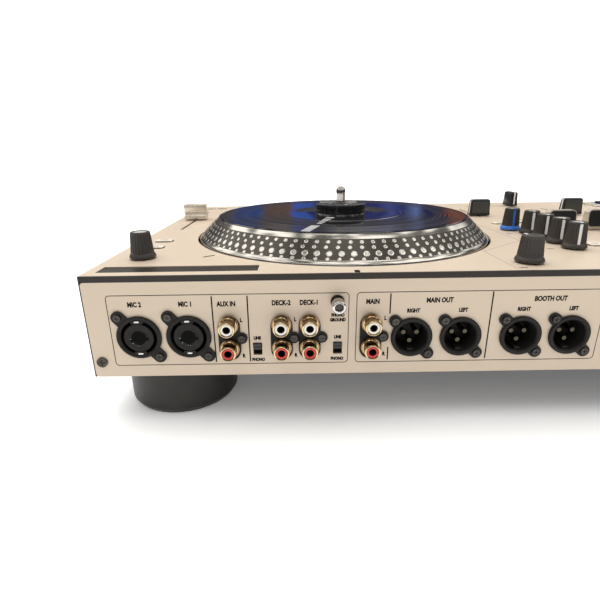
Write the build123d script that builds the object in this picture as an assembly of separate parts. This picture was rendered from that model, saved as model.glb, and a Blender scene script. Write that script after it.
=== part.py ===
"""Two-deck DJ controller with motorised seven inch platters.

Frame: millimetres, +Z up, origin on the table under the middle of the bounding box.
-Y is the player's side (front), +Y is the side with the sockets (rear), +X is the player's right.
Places on the deck are an X and a distance from the rear face. Heights h count from the deck's top face.
"""

from build123d import *
from math import atan2, cos, degrees, hypot, radians, sin
import os

# ---- case ----
BODY_WIDTH = 664.0
BODY_DEPTH = 309.0
BODY_HEIGHT = 57.5
FOOT_HEIGHT = 28.5
FOOT_RADIUS = 33.0
FOOT_INSET_X = 39.5
FOOT_INSET_Y = 38.0
WALL = 1.5             # folded sheet: walls, rear panel
EDGE = 1.0             # part of the side wall seen beside the rear panel
FLOOR = 2.0
PLATE = 2.0            # top plate
RIM_HEIGHT = 3.2       # dark rim above the rear panel
LEDGE = 5.0            # lip that carries the top plate
POST_REACH = 10.5      # ground terminal, furthest piece behind the rear face
JACK_LIP = 1.0         # headphone socket ring, furthest piece in front

# ---- platters ----
PLATTER_X = 184.6
PLATTER_BACK = 122.7
WELL_RADIUS = 109.2
RECORD_RADIUS = 91.45
RECORD_TOP = 15.4
RECORD_THICK = 2.0
SLIPMAT_THICK = 0.8
ADAPTER_RADIUS = 19.05
ADAPTER_TOP = 22.7
SPINDLE_RADIUS = 3.5     # exposed pin
HUB_PIN_RADIUS = 4.2     # the same spindle inside the adapter and the hub
SPINDLE_TOP = 34.7
HUB_RADIUS = 7.0
RUN = 0.05             # radial running clearance
LIFT = 0.1             # gap under a piece that slides round on another

# ---- controls ----
PITCH_X = 314.5
PITCH_BACK = 200.0
PITCH_TRAVEL = 100.0
LINE_X = 44.0
LINE_BACK = 222.5
CROSS_BACK = 276.0
CROSS_X = -22.5          # stored at one end of its travel
MIX_TRAVEL = 45.0
FADER_SLOT = 2.6
STEM = 1.2
MIX_CAP = (19.0, 8.5, 15.8)
PADDLE_X = 15.0
PADDLE_BACK = 118.0
PADDLE_WIDTH = 21.0
PADDLE_TOP = 15.5
PADDLE_PIVOT = -4.0
SHAFT_RADIUS = 3.0
EQ_X = 44.7
EQ_BACKS = {"gain": 51.0, "high": 69.0, "mid": 87.0, "low": 105.0}
FILTER_PLACE = (51.5, 121.0)
PAD_SIZE = 24.0
PAD_PITCH = 28.0
PAD_BACK = 268.5
PAD_OPENING = (116.0, 56.0)
START_X = 274.0
START_BACK = 276.0
START_SIZE = 26.0
STRIP_SIZE = (86.3, 12.4)
STRIP_X = 282.85
STRIP_BACK = 14.2

# ---- sockets: X, and h for each kind ----
FLANGE = 1.2
COMBO_XS = (304.0, 277.4)
COMBO_H = -33.9
COMBO_EARS = ((10.0, 11.5), (-10.0, -11.2))
XLR_XS = (157.5, 131.0, 98.5, 72.0)
XLR_H = -36.0
XLR_EARS = ((9.3, 9.5), (-9.3, -9.5))
XLR_PINS = ((3.6, 1.5), (-3.6, 1.5), (0.0, -3.4))
CUP_RADIUS = 9.0
CUP_DEPTH = 13.0
RCA_XS = (255.6, 227.5, 212.5, 179.6)
RCA_H = -33.9
RCA_SPACING = 13.6
RCA_PLATE_H = -35.2
RCA_PLATE = (25.6, 11.8)
RCA_EAR = -6.6
SWITCH_XS = {"left": 240.8, "right": 197.3}
SWITCH_H = -41.9
SWITCH_TRAVEL = 3.4
POST_X = 197.7
POST_H = -15.2
POST_RADIUS = 3.5
USB_XS = (24.0, -2.0)
USB_H = -36.0
INLET_X = -286.0
ROCKER_X = -250.0
POWER_H = -32.0
ROCKER_TILT = 8.0
ROCKER_PIVOT = 2.5
PHONE_XS = {-300.0: 3.25, -278.0: 1.8}
PHONE_H = -30.0
PANEL_SCREWS = ((326.3, -48.5), (-326.3, -48.5), (42.0, -50.0))

# ---- derived places ----
REAR_Y = (BODY_DEPTH + JACK_LIP - POST_REACH) / 2
FRONT_Y = REAR_Y - BODY_DEPTH
TOP_Z = FOOT_HEIGHT + BODY_HEIGHT
HALF = BODY_WIDTH / 2
INSIDE = HALF - WALL
PLATE_H = -PLATE
FLOOR_H = FLOOR - BODY_HEIGHT
SIDES = {"right": 1, "left": -1}

knobs = {
    "browse_encoder": (0.0, 62.0, 7.7, 16.3),
    "main_volume_knob": (90.3, 17.6, 7.7, 15.4),
    "mic_volume_knob": (-90.3, 17.6, 7.7, 15.4),
}
keys = [(x, distance, 13.0, 8.0) for x in (-24.0, 0.0, 24.0) for distance in (158.0, 174.0)]
for side, sign in SIDES.items():
    knobs[f"{side}_loop_encoder"] = (sign * 311.2, 40.2, 7.7, 16.3)
    for band, distance in EQ_BACKS.items():
        knobs[f"{side}_{band}_knob"] = (sign * EQ_X, distance, 7.2, 17.0)
    knobs[f"{side}_filter_knob"] = (sign * FILTER_PLACE[0], FILTER_PLACE[1], 7.2, 17.0)
    keys += [(sign * 314.0, distance, 12.0, 7.0) for distance in (71.0, 93.0)]
    keys += [(sign * 114.0, distance, 12.0, 7.0) for distance in (247.0, 261.0, 275.0, 289.0)]
    keys += [(sign * x, 285.0, 10.0, 7.0) for x in (304.5, 317.5)]
    keys += [(sign * START_X, 251.0, 22.0, 8.0), (sign * 24.0, 62.0, 11.0, 11.0), (sign * EQ_X, 152.0, 13.0, 7.0)]

parts = {}


# ---- drawing helpers ----
def back(distance):
    """Y of a place this far in front of the rear face."""
    return REAR_Y - distance


def block(x0, x1, y0, y1, h0, h1):
    """Box between two corners, heights from the deck's top face."""
    middle = Pos((x0 + x1) / 2, (y0 + y1) / 2, TOP_Z + (h0 + h1) / 2)
    return middle * Box(abs(x1 - x0), abs(y1 - y0), abs(h1 - h0))


def slab(x, distance, width, depth, h0, h1, corner=0.0):
    """Upright prism with rounded corners, centred on a place on the deck."""
    outline = RectangleRounded(width, depth, corner) if corner else Rectangle(width, depth)
    return extrude(Pos(x, back(distance), TOP_Z + h0) * outline, h1 - h0)


def disc(x, distance, h0, h1, radius):
    """Upright cylinder."""
    return Pos(x, back(distance), TOP_Z + (h0 + h1) / 2) * Cylinder(radius, h1 - h0)


def turned(x, distance, profile):
    """Solid of revolution about a vertical line; the profile's points are (radius, h)."""
    points = [(radius, 0, h) for radius, h in profile]
    face = make_face(Polyline(*points, points[0]))
    return Pos(x, back(distance), TOP_Z) * revolve(face, Axis.Z)


def rod(x, h, y0, y1, radius):
    """Cylinder along Y."""
    return Pos(x, (y0 + y1) / 2, TOP_Z + h) * Rot(90, 0, 0) * Cylinder(radius, abs(y1 - y0))


def upright(x, h, outline, y0, y1):
    """Outline drawn on the XZ plane, extruded along Y from y0 to y1."""
    return extrude(Pos(x, y0, TOP_Z + h) * Rot(90, 0, 0) * outline, y0 - y1)


def along_x(x0, x1, distance, points):
    """Prism along X; the outline's points are (y, h), with y counted from a place on the deck."""
    corners = [(x0, back(distance) + y, TOP_Z + h) for y, h in points]
    return extrude(make_face(Polyline(*corners, corners[0])), x1 - x0, dir=(1, 0, 0))


def eared(radius, ears, ear_radius):
    """Round flange with screw ears."""
    outline = Circle(radius)
    for x, h in ears:
        reach = hypot(x, h)
        outline += Pos(x, h) * Circle(ear_radius)
        outline += Rot(0, 0, degrees(atan2(h, x))) * Pos(reach / 2, 0) * Rectangle(reach, 2 * ear_radius)
    return outline


def group(shapes):
    """Separate solids kept together under one name."""
    return Compound(children=[solid for shape in shapes for solid in shape.solids()])


# ---- screws: place, height, head radius ----
def ear_screws():
    places = [(x + ear[0], COMBO_H + ear[1]) for x in COMBO_XS for ear in COMBO_EARS]
    places += [(x + ear[0], XLR_H + ear[1]) for x in XLR_XS for ear in XLR_EARS]
    return places + [(x + RCA_EAR, RCA_PLATE_H) for x in RCA_XS]


EAR_SCREW = 1.2
PANEL_SCREW = 1.5
FOOT_SCREW = 2.0


def rear_screw(x, h, face, head_radius, shank_radius, head=0.9):
    """Pan-head screw with a cross slot, driven in from behind the case."""
    y = REAR_Y + face
    screw = rod(x, h, y, y + head, head_radius) + rod(x, h, y - 6, y, shank_radius)
    for size in ((head_radius * 1.3, 0.5), (0.5, head_radius * 1.3)):
        screw -= upright(x, h, Rectangle(*size), y + head - 0.5, y + head + 0.5)
    return screw


def foot_places():
    for sign in SIDES.values():
        for distance in (FOOT_INSET_Y, BODY_DEPTH - FOOT_INSET_Y):
            yield sign * (HALF - FOOT_INSET_X), distance


def ground_stud():
    """Threaded stud, with its collar, through the rear panel."""
    stud = rod(POST_X, POST_H, REAR_Y - 9, REAR_Y + POST_REACH - 1.6, 2.0)
    return stud + rod(POST_X, POST_H, REAR_Y - 3, REAR_Y + 1.0, 3.7)


def make_screws():
    """Every fastener: socket screws, panel screws, foot screws and the ground terminal's stud."""
    screws = [rear_screw(x, h, FLANGE, 1.9, EAR_SCREW) for x, h in ear_screws()]
    screws += [rear_screw(x, h, 0.0, 2.9, PANEL_SCREW) for x, h in PANEL_SCREWS]
    under = -BODY_HEIGHT
    for x, distance in foot_places():
        screw = disc(x, distance, under - 7.5, under - 5, 4.2)
        screws.append(screw + disc(x, distance, under - 5, FLOOR_H + 1.5, FOOT_SCREW))
    return group([*screws, ground_stud()])


# ---- case pieces ----
def make_tub():
    outer = RectangleRounded(BODY_WIDTH, BODY_DEPTH, 0.8)
    tub = extrude(Pos(0, (REAR_Y + FRONT_Y) / 2, FOOT_HEIGHT) * outer, BODY_HEIGHT)
    tub -= block(-HALF - 1, HALF + 1, FRONT_Y - 1, REAR_Y - WALL, PLATE_H, 1)
    tub -= block(-INSIDE, INSIDE, FRONT_Y + WALL, REAR_Y + 1, FLOOR_H, 1)
    tub -= block(EDGE - HALF, HALF - EDGE, REAR_Y - WALL, REAR_Y + 1, -BODY_HEIGHT - 1, -RIM_HEIGHT)
    tub += block(-INSIDE, INSIDE, REAR_Y - WALL, REAR_Y, -RIM_HEIGHT, 0)
    for sign in SIDES.values():
        ends = sorted((sign * INSIDE, sign * (INSIDE - LEDGE)))
        tub += block(*ends, FRONT_Y + WALL, REAR_Y - WALL, PLATE_H - WALL, PLATE_H)
    tub += block(-INSIDE, INSIDE, FRONT_Y + WALL, FRONT_Y + WALL + LEDGE, PLATE_H - WALL, PLATE_H)
    tub += block(-INSIDE, INSIDE, REAR_Y - WALL - LEDGE, REAR_Y - WALL, -RIM_HEIGHT - WALL, PLATE_H)
    for x, radius in PHONE_XS.items():
        tub -= rod(x, PHONE_H, FRONT_Y - 1, FRONT_Y + WALL + 1, radius + 1.3)
    for x, distance in foot_places():
        tub -= disc(x, distance, -BODY_HEIGHT - 1, FLOOR_H + 1, FOOT_SCREW)
    return tub


def make_top_plate():
    low, high = PLATE_H - 1, 1
    plate = block(-HALF, HALF, FRONT_Y, REAR_Y - WALL, PLATE_H, 0)
    for sign in SIDES.values():
        for end in (-1, 1):
            x = sign * PADDLE_X + end * (PADDLE_WIDTH / 2 + 1)
            plate += block(x - 0.8, x + 0.8, back(PADDLE_BACK) - 4, back(PADDLE_BACK) + 4, -7, PLATE_H)
            plate -= Pos(x, back(PADDLE_BACK), TOP_Z + PADDLE_PIVOT) * Rot(0, 90, 0) * Cylinder(1.5 + RUN, 3)
        plate -= disc(sign * PLATTER_X, PLATTER_BACK, low, high, WELL_RADIUS)
        plate -= slab(sign * PITCH_X, PITCH_BACK, FADER_SLOT, PITCH_TRAVEL + 14, low, high, 1.2)
        plate -= slab(sign * LINE_X, LINE_BACK, FADER_SLOT, MIX_TRAVEL + 10, low, high, 1.2)
        plate -= slab(sign * PADDLE_X, PADDLE_BACK, PADDLE_WIDTH - 5, 9, low, high, 1.5)
        plate -= slab(sign * PLATTER_X, PAD_BACK, *PAD_OPENING, low, high, 2)
        plate -= slab(sign * START_X, START_BACK, START_SIZE, START_SIZE, low, high, 3)
        plate -= slab(sign * STRIP_X, STRIP_BACK, *STRIP_SIZE, low, high)
    plate -= slab(0, CROSS_BACK, MIX_TRAVEL + 10, FADER_SLOT, low, high, 1.2)
    for x, distance, _, _ in knobs.values():
        plate -= disc(x, distance, low, high, SHAFT_RADIUS + 0.6)
    for x, distance, width, depth in keys:
        plate -= slab(x, distance, width + 0.6, depth + 0.6, low, high, 1.4)
    return plate


def make_rear_panel():
    width, height = 2 * (HALF - EDGE), BODY_HEIGHT - RIM_HEIGHT
    y0, y1 = REAR_Y - WALL, REAR_Y + 1
    panel = upright(0, -RIM_HEIGHT - height / 2, RectangleRounded(width, height, 1.8), y0, REAR_Y)
    y0 -= 1
    for x in COMBO_XS:
        panel -= rod(x, COMBO_H, y0, y1, 11.0)
    for x in XLR_XS:
        panel -= rod(x, XLR_H, y0, y1, 10.5)
    for x in RCA_XS:
        panel -= upright(x, RCA_PLATE_H, SlotOverall(25.2, 11.0, rotation=90), y0, y1)
    for x in SWITCH_XS.values():
        panel -= upright(x, SWITCH_H, Rectangle(4.9, 7.2), y0, y1)
    for x in USB_XS:
        panel -= upright(x, USB_H, Rectangle(12.2, 11.2), y0, y1)
    panel -= upright(INLET_X, POWER_H, RectangleRounded(28.2, 20.6, 3), y0, y1)
    panel -= upright(ROCKER_X, POWER_H, Rectangle(20.2, 14.2), y0, y1)
    panel -= rod(POST_X, POST_H, y0, y1, 3.75)
    for x, h in ear_screws():
        panel -= rod(x, h, y0, y1, EAR_SCREW)
    for x, h in PANEL_SCREWS:
        panel -= rod(x, h, y0, y1, PANEL_SCREW)
    return panel


def make_foot(x, distance):
    under = -BODY_HEIGHT
    bottom = under - FOOT_HEIGHT
    profile = [(FOOT_SCREW, under), (FOOT_RADIUS, under), (FOOT_RADIUS, bottom + 3), (FOOT_RADIUS - 2, bottom),
               (6.0, bottom), (6.0, under - 5), (FOOT_SCREW, under - 5)]
    return turned(x, distance, profile)


# ---- sockets ----
def make_combo_jack(x):
    jack = upright(x, COMBO_H, eared(12.0, COMBO_EARS, 3.5), REAR_Y, REAR_Y + FLANGE)
    jack += rod(x, COMBO_H, REAR_Y - 26, REAR_Y, 10.9)
    jack -= rod(x, COMBO_H, REAR_Y - 12, REAR_Y + 2, 9.7) - rod(x, COMBO_H, REAR_Y - 13, REAR_Y + 3, 7.9)
    jack -= rod(x, COMBO_H, REAR_Y - 22, REAR_Y + 2, 3.25)
    for angle in (30, 150, 270):
        hole = (x + 5.6 * cos(radians(angle)), COMBO_H + 5.6 * sin(radians(angle)))
        jack -= rod(*hole, REAR_Y - 10, REAR_Y + 2, 1.3)
    for ear in COMBO_EARS:
        jack -= rod(x + ear[0], COMBO_H + ear[1], REAR_Y - 1, REAR_Y + 2, EAR_SCREW)
    return jack


def make_xlr_socket(x):
    socket = upright(x, XLR_H, eared(11.15, XLR_EARS, 3.3), REAR_Y, REAR_Y + FLANGE)
    socket += rod(x, XLR_H, REAR_Y - CUP_DEPTH - 4, REAR_Y, 10.4)
    socket -= rod(x, XLR_H, REAR_Y - CUP_DEPTH, REAR_Y + 2, CUP_RADIUS)
    for pin_x, pin_h in XLR_PINS:
        socket -= rod(x + pin_x, XLR_H + pin_h, REAR_Y - CUP_DEPTH - 5, REAR_Y - 1, 1.2)
    for ear in XLR_EARS:
        socket -= rod(x + ear[0], XLR_H + ear[1], REAR_Y - 1, REAR_Y + 2, EAR_SCREW)
    return socket


def make_contact_pins():
    pins = [rod(x + pin[0], XLR_H + pin[1], REAR_Y - CUP_DEPTH - 7, REAR_Y - 3, 1.2)
            for x in XLR_XS for pin in XLR_PINS]
    for x, h in ((-7.0, -2.0), (7.0, -2.0), (0.0, 2.5)):
        pins.append(upright(INLET_X + x, POWER_H + h, Rectangle(2.0, 4.0), REAR_Y - 24, REAR_Y - 4.6))
    return group(pins)


def make_rca_block(x):
    height, width = RCA_PLATE
    plate = SlotOverall(height, width, rotation=90) + Pos(RCA_EAR, 0) * Circle(3.1)
    plate += Pos(RCA_EAR / 2, 0) * Rectangle(-RCA_EAR, 6.2)
    body = upright(x, RCA_PLATE_H, plate, REAR_Y, REAR_Y + FLANGE)
    body += upright(x, RCA_PLATE_H, SlotOverall(25.0, 10.8, rotation=90), REAR_Y - 13, REAR_Y)
    for h in rca_heights():
        body -= rod(x, h, REAR_Y - 4, REAR_Y + 2, 4.15)
    return body - rod(x + RCA_EAR, RCA_PLATE_H, REAR_Y - 14, REAR_Y + 2, EAR_SCREW)


def rca_heights():
    """Upper and lower socket of a pair."""
    return RCA_H + RCA_SPACING / 2, RCA_H - RCA_SPACING / 2


def make_rca_shell(x, h):
    shell = rod(x, h, REAR_Y - 4, REAR_Y + 9, 4.15) + rod(x, h, REAR_Y + FLANGE, REAR_Y + 2.4, 5.3)
    return shell - rod(x, h, REAR_Y - 3, REAR_Y + 10, 3.3)


def make_rca_insert(x, h):
    return rod(x, h, REAR_Y - 3, REAR_Y + 8.6, 3.3) - rod(x, h, REAR_Y - 1, REAR_Y + 9, 1.65)


def make_power_inlet():
    """One moulding: mains inlet and the frame of the power rocker."""
    inlet = upright(INLET_X, POWER_H, RectangleRounded(32, 24, 3.5), REAR_Y, REAR_Y + 1.5)
    inlet += upright(INLET_X, POWER_H, RectangleRounded(28, 20.4, 3), REAR_Y - 22, REAR_Y)
    inlet -= upright(INLET_X, POWER_H, RectangleRounded(24.5, 17, 2.5), REAR_Y - 17, REAR_Y + 2)
    for x, h in ((-7.0, -2.0), (7.0, -2.0), (0.0, 2.5)):
        inlet -= upright(INLET_X + x, POWER_H + h, Rectangle(2.0, 4.0), REAR_Y - 23, REAR_Y - 10)
    frame = upright(ROCKER_X, POWER_H, Rectangle(23, 17), REAR_Y, REAR_Y + 1.5)
    frame += upright(ROCKER_X, POWER_H, Rectangle(20, 14), REAR_Y - 16, REAR_Y)
    frame -= upright(ROCKER_X, POWER_H, Rectangle(17.6, 11.6), REAR_Y - 14, REAR_Y + 2)
    bridge = block(INLET_X + 13, ROCKER_X - 9, REAR_Y - 8, REAR_Y - WALL, POWER_H - 5, POWER_H + 5)
    hinge = Pos(ROCKER_X, REAR_Y - ROCKER_PIVOT, TOP_Z + POWER_H) * Cylinder(1.5 + RUN, 13.2)
    return inlet + frame + bridge - hinge


def make_power_rocker():
    """Rocker that turns about an upright pin, stored tipped to its off side."""
    outline = Polyline((-8, -4.4), (-8, 3.0), (0, 4.4), (8, 3.0), (8, -4.4), (0, -6.0), (-8, -4.4))
    rocker = extrude(make_face(outline), 11.0)
    rocker = Pos(0, 0, -5.5) * rocker + Cylinder(1.5, 13.0)
    return Pos(ROCKER_X, REAR_Y - ROCKER_PIVOT, TOP_Z + POWER_H) * Rot(0, 0, -ROCKER_TILT) * rocker


def make_board_sockets():
    """Two data ports at the rear and two headphone sockets at the front."""
    sockets = []
    for x in USB_XS:
        port = upright(x, USB_H, Rectangle(12, 11), REAR_Y - 16, REAR_Y + 0.6)
        port -= upright(x, USB_H, Rectangle(8.8, 8.2), REAR_Y - 11, REAR_Y + 1)
        sockets.append(port + upright(x, USB_H, Rectangle(5.6, 3.0), REAR_Y - 12, REAR_Y - 5))
    for x, radius in PHONE_XS.items():
        jack = rod(x, PHONE_H, FRONT_Y - JACK_LIP, FRONT_Y, radius + 2.4)
        jack += rod(x, PHONE_H, FRONT_Y - 0.5, FRONT_Y + 24, radius + 1.25)
        sockets.append(jack - rod(x, PHONE_H, FRONT_Y - 2, FRONT_Y + 20, radius))
    return group(sockets)


def make_ground_terminal():
    """Thumb nut on its threaded stud."""
    nut = rod(POST_X, POST_H, REAR_Y + 4.0, REAR_Y + POST_REACH, POST_RADIUS)
    return nut - rod(POST_X, POST_H, REAR_Y + 3, REAR_Y + POST_REACH - 1.5, 2.05)


# ---- platter stack ----
DECK_H = RECORD_TOP - RECORD_THICK - LIFT - SLIPMAT_THICK
SHAFT_END = -46.0
ADAPTER_DISH = 0.9
PIN_LENGTH = 9.7


def make_motor(x):
    """Stator and bearing tube of the direct-drive motor, on a foot flange."""
    bore = HUB_RADIUS + RUN
    profile = [(bore, FLOOR_H), (46, FLOOR_H), (46, FLOOR_H + 4), (14, FLOOR_H + 4), (14, -32), (38, -32),
               (38, -18), (14, -18), (14, -8), (bore, -8)]
    return turned(x, PLATTER_BACK, profile)


def make_platter(x):
    """Cast platter with a strobe cone, a magnet ring and a hollow hub shaft."""
    bore = HUB_PIN_RADIUS + RUN
    profile = [
        (bore, DECK_H), (92.0, DECK_H), (92.0, 14.9), (92.6, 14.9), (95.2, 12.5), (106.0, 2.1), (107.5, 0.6),
        (107.5, -3), (104, -3), (100, 0), (92, 7), (46, 7), (46, -30), (42, -30), (42, 7), (18, 7), (18, -4),
        (HUB_RADIUS, -4), (HUB_RADIUS, SHAFT_END), (bore, SHAFT_END)]
    return turned(x, PLATTER_BACK, profile)


def make_slipmat(x):
    return disc(x, PLATTER_BACK, DECK_H, DECK_H + SLIPMAT_THICK, 91.2) - disc(x, PLATTER_BACK, 0, 20, 4.5)


def make_record(x):
    bottom, lip = RECORD_TOP - RECORD_THICK, 0.4
    profile = [(ADAPTER_RADIUS, bottom), (RECORD_RADIUS - lip, bottom), (RECORD_RADIUS, bottom + lip),
               (RECORD_RADIUS, RECORD_TOP - lip), (RECORD_RADIUS - lip, RECORD_TOP), (ADAPTER_RADIUS, RECORD_TOP)]
    return turned(x, PLATTER_BACK, profile)


def make_adapter(x):
    """Round puck that fills the record's large hole, dished round the spindle."""
    r, top = ADAPTER_RADIUS, ADAPTER_TOP
    bottom, hole = RECORD_TOP - RECORD_THICK, HUB_PIN_RADIUS
    profile = [(hole, bottom), (r, bottom), (r, top - 0.8), (r - 0.8, top), (r - 2, top),
               (r - 3.5, top - ADAPTER_DISH), (hole, top - ADAPTER_DISH)]
    return turned(x, PLATTER_BACK, profile)


def make_spindle(x):
    r, shaft, top = SPINDLE_RADIUS, HUB_PIN_RADIUS, SPINDLE_TOP
    step = ADAPTER_TOP - ADAPTER_DISH
    profile = [(0, SHAFT_END - 3), (shaft, SHAFT_END - 3), (shaft, step), (r, step), (r, step + PIN_LENGTH),
               (r - 0.8, top - 1.2), (r - 2, top), (0, top)]
    return turned(x, PLATTER_BACK, profile)


# ---- knobs and faders ----
def make_knob(x, distance, radius, height):
    """Tapered knob with a skirt, and the control's shaft inside it."""
    profile = [(SHAFT_RADIUS, 1.0), (radius, 1.0), (radius, 2.6), (radius - 0.9, 3.8), (radius - 1.9, height - 1.2),
               (radius - 2.6, height - 0.3), (radius - 3.2, height), (0, height), (0, height - 4),
               (SHAFT_RADIUS, height - 4)]
    return group([turned(x, distance, profile), disc(x, distance, -12, height - 4, SHAFT_RADIUS)])


def make_potentiometers():
    """Body of each rotary control, with a bore for its shaft, held under the plate."""
    bodies = []
    for x, distance, _, _ in knobs.values():
        body = slab(x, distance, 12, 12, -14, PLATE_H - 0.2, 1) - disc(x, distance, -12.2, 0, SHAFT_RADIUS + RUN)
        bodies.append(body)
    return group(bodies)


def make_fader_body(x, distance, travel, turn):
    """Closed track under the plate, with a slot for the cap's stem."""
    body = Box(14, travel + 26, 12) - Pos(0, 0, 1.5) * Box(FADER_SLOT, travel + 10, 12)
    return Pos(x, back(distance), TOP_Z + PLATE_H - 6) * Rot(0, 0, turn) * body


def make_fader_bodies():
    bodies = [make_fader_body(0, CROSS_BACK, MIX_TRAVEL, 90)]
    for sign in SIDES.values():
        bodies.append(make_fader_body(sign * PITCH_X, PITCH_BACK, PITCH_TRAVEL, 0))
        bodies.append(make_fader_body(sign * LINE_X, LINE_BACK, MIX_TRAVEL, 0))
    return group(bodies)


def make_pitch_cap(x):
    """Wide cap with a finger groove, and its stem."""
    outline = [(-6.5, 1.2), (6.5, 1.2), (6.5, 3.0), (4.4, 6.0), (4.4, 8.5), (5.6, 14.6), (2.4, 14.6),
               (0, 13.2), (-2.4, 14.6), (-5.6, 14.6), (-4.4, 8.5), (-4.4, 6.0), (-6.5, 3.0)]
    cap = along_x(x - 10, x + 10, PITCH_BACK, outline)
    return cap + slab(x, PITCH_BACK, STEM, 6, -10, 2)


def make_mix_cap(x, distance, turn):
    """Mixer fader cap with slightly sloping sides and its flat stem; with no turn it slides along Y."""
    length, width, height = MIX_CAP
    cap = loft([Pos(0, 0, 0.8) * Rectangle(length, width), Pos(0, 0, height) * Rectangle(length - 1.6, width - 1.4)])
    cap = fillet(cap.edges().group_by(Axis.Z)[-1], 1.5)
    cap += Pos(0, 0, -4.4) * Box(STEM, 6, 11.6)
    return Pos(x, back(distance), TOP_Z) * Rot(0, 0, turn) * cap


def make_paddle(x):
    """Spring-less two-way paddle with pivot stubs below the plate."""
    outline = [(-4.0, 2.4), (-2.6, PADDLE_TOP), (2.6, PADDLE_TOP), (4.0, 2.4)]
    half = PADDLE_WIDTH / 2
    paddle = along_x(x - half, x + half, PADDLE_BACK, outline)
    paddle = fillet(paddle.edges().filter_by(Axis.Y).group_by(Axis.Z)[-1], 3.0)
    paddle += slab(x, PADDLE_BACK, PADDLE_WIDTH - 7, 4, -6, 3)
    pivot = Pos(x, back(PADDLE_BACK), TOP_Z + PADDLE_PIVOT) * Rot(0, 90, 0)
    return paddle + pivot * Cylinder(1.5, PADDLE_WIDTH + 3)


def make_start_button(x):
    cap = slab(x, START_BACK, START_SIZE - 0.8, START_SIZE - 0.8, -5, 1.8, 2.8)
    return cap + slab(x, START_BACK, 6, 6, -7, -4.9)


def make_switch_slider(x):
    """Knob of the line and phono switch, stored in its upper place."""
    h = SWITCH_H + SWITCH_TRAVEL / 2
    slider = upright(x, h, Rectangle(4.1, 3.2), REAR_Y - 4, REAR_Y + 1.2)
    return slider - upright(x, h, Rectangle(5, 0.5), REAR_Y + 0.8, REAR_Y + 2)


def make_switch_bodies():
    """Housings of the slide switches and bodies of the start switches."""
    bodies = []
    for x in SWITCH_XS.values():
        body = upright(x, SWITCH_H, Rectangle(8, 12), REAR_Y - 9, REAR_Y - WALL)
        bodies.append(body - upright(x, SWITCH_H, Rectangle(4.9, 7.2), REAR_Y - 5, REAR_Y))
    for sign in SIDES.values():
        bodies.append(slab(sign * START_X, START_BACK, 10, 10, -12, -8.7, 1))
    return group(bodies)


# ---- soft keys and strips ----
def make_key_mats():
    """Silicone keys, each with the mat's collar under the plate."""
    mats = []
    for x, distance, width, depth in keys:
        mat = slab(x, distance, width, depth, -4, 0.9, 1.1)
        mats.append(mat + slab(x, distance, width + 2, depth + 2, -4, PLATE_H - 0.2, 1.5))
    return group(mats)


def make_pad_mat(x):
    """Silicone mat with two rows of four pads."""
    width, depth = PAD_OPENING
    mat = slab(x, PAD_BACK, width + 4, depth + 4, -5, PLATE_H - 0.2, 2)
    mat += slab(x, PAD_BACK, width - 0.6, depth - 0.6, -3, -0.6, 1.8)
    for column in (-1.5, -0.5, 0.5, 1.5):
        for row in (-0.5, 0.5):
            place = (x + column * PAD_PITCH, PAD_BACK + row * PAD_PITCH)
            mat += slab(*place, PAD_SIZE, PAD_SIZE, -1, 2.2, 2.5)
    return mat


def make_touch_strip(x):
    width, depth = STRIP_SIZE
    strip = slab(x, STRIP_BACK, width - 0.2, depth - 0.2, -1.9, -0.5)
    strip += slab(x, STRIP_BACK, width - 14, depth - 0.2, -4, -1)
    return strip + slab(x, STRIP_BACK, width - 14, depth + 2, -4, PLATE_H - 0.2)


# ---- boards ----
def make_circuit_boards():
    """Main board under the mixer and power supply behind the power inlet, each on its posts."""
    board = block(-95, 95, FRONT_Y + 20, REAR_Y - 30, -19, -17.4)
    for x in (-85, 0, 85):
        for y in (FRONT_Y + 30, REAR_Y - 40):
            board += Pos(x, y, TOP_Z + (FLOOR_H - 19) / 2) * Cylinder(3, -19 - FLOOR_H)
    for x, y, size, high in ((-30, -20, 26, 2.5), (35, 30, 18, 2.5), (40, -60, 22, 2.5), (-70, 50, 12, 2.5)):
        board += block(x, x + size, y, y + size, -17.4, -17.4 + high)
    supply = block(-320, -240, REAR_Y - 60, REAR_Y - 26, -46, -44.4)
    supply += block(-312, -282, REAR_Y - 56, REAR_Y - 32, -44.4, -22)
    supply += block(-275, -250, REAR_Y - 54, REAR_Y - 36, -44.4, -26)
    for x in (-316, -244):
        supply += Pos(x, REAR_Y - 43, TOP_Z + (FLOOR_H - 46) / 2) * Cylinder(2.5, -46 - FLOOR_H)
    return group([board, supply])


# ---- assembly ----
parts["chassis_tub"] = make_tub()
parts["top_plate"] = make_top_plate()
parts["rear_panel"] = make_rear_panel()
parts["feet"] = group([make_foot(*place) for place in foot_places()])
parts["screws"] = make_screws()
parts["combo_jacks"] = group([make_combo_jack(x) for x in COMBO_XS])
parts["xlr_sockets"] = group([make_xlr_socket(x) for x in XLR_XS])
parts["contact_pins"] = make_contact_pins()
parts["rca_blocks"] = group([make_rca_block(x) for x in RCA_XS])
parts["rca_shells"] = group([make_rca_shell(x, h) for x in RCA_XS for h in rca_heights()])
parts["white_rca_inserts"] = group([make_rca_insert(x, rca_heights()[0]) for x in RCA_XS])
parts["red_rca_inserts"] = group([make_rca_insert(x, rca_heights()[1]) for x in RCA_XS])
parts["power_inlet"] = make_power_inlet()
parts["power_rocker"] = make_power_rocker()
parts["board_sockets"] = make_board_sockets()
parts["ground_terminal"] = make_ground_terminal()
parts["platter_motors"] = group([make_motor(sign * PLATTER_X) for sign in SIDES.values()])
parts["fader_bodies"] = make_fader_bodies()
parts["potentiometers"] = make_potentiometers()
parts["switch_bodies"] = make_switch_bodies()
parts["circuit_boards"] = make_circuit_boards()
parts["touch_strips"] = group([make_touch_strip(sign * STRIP_X) for sign in SIDES.values()])
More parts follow.
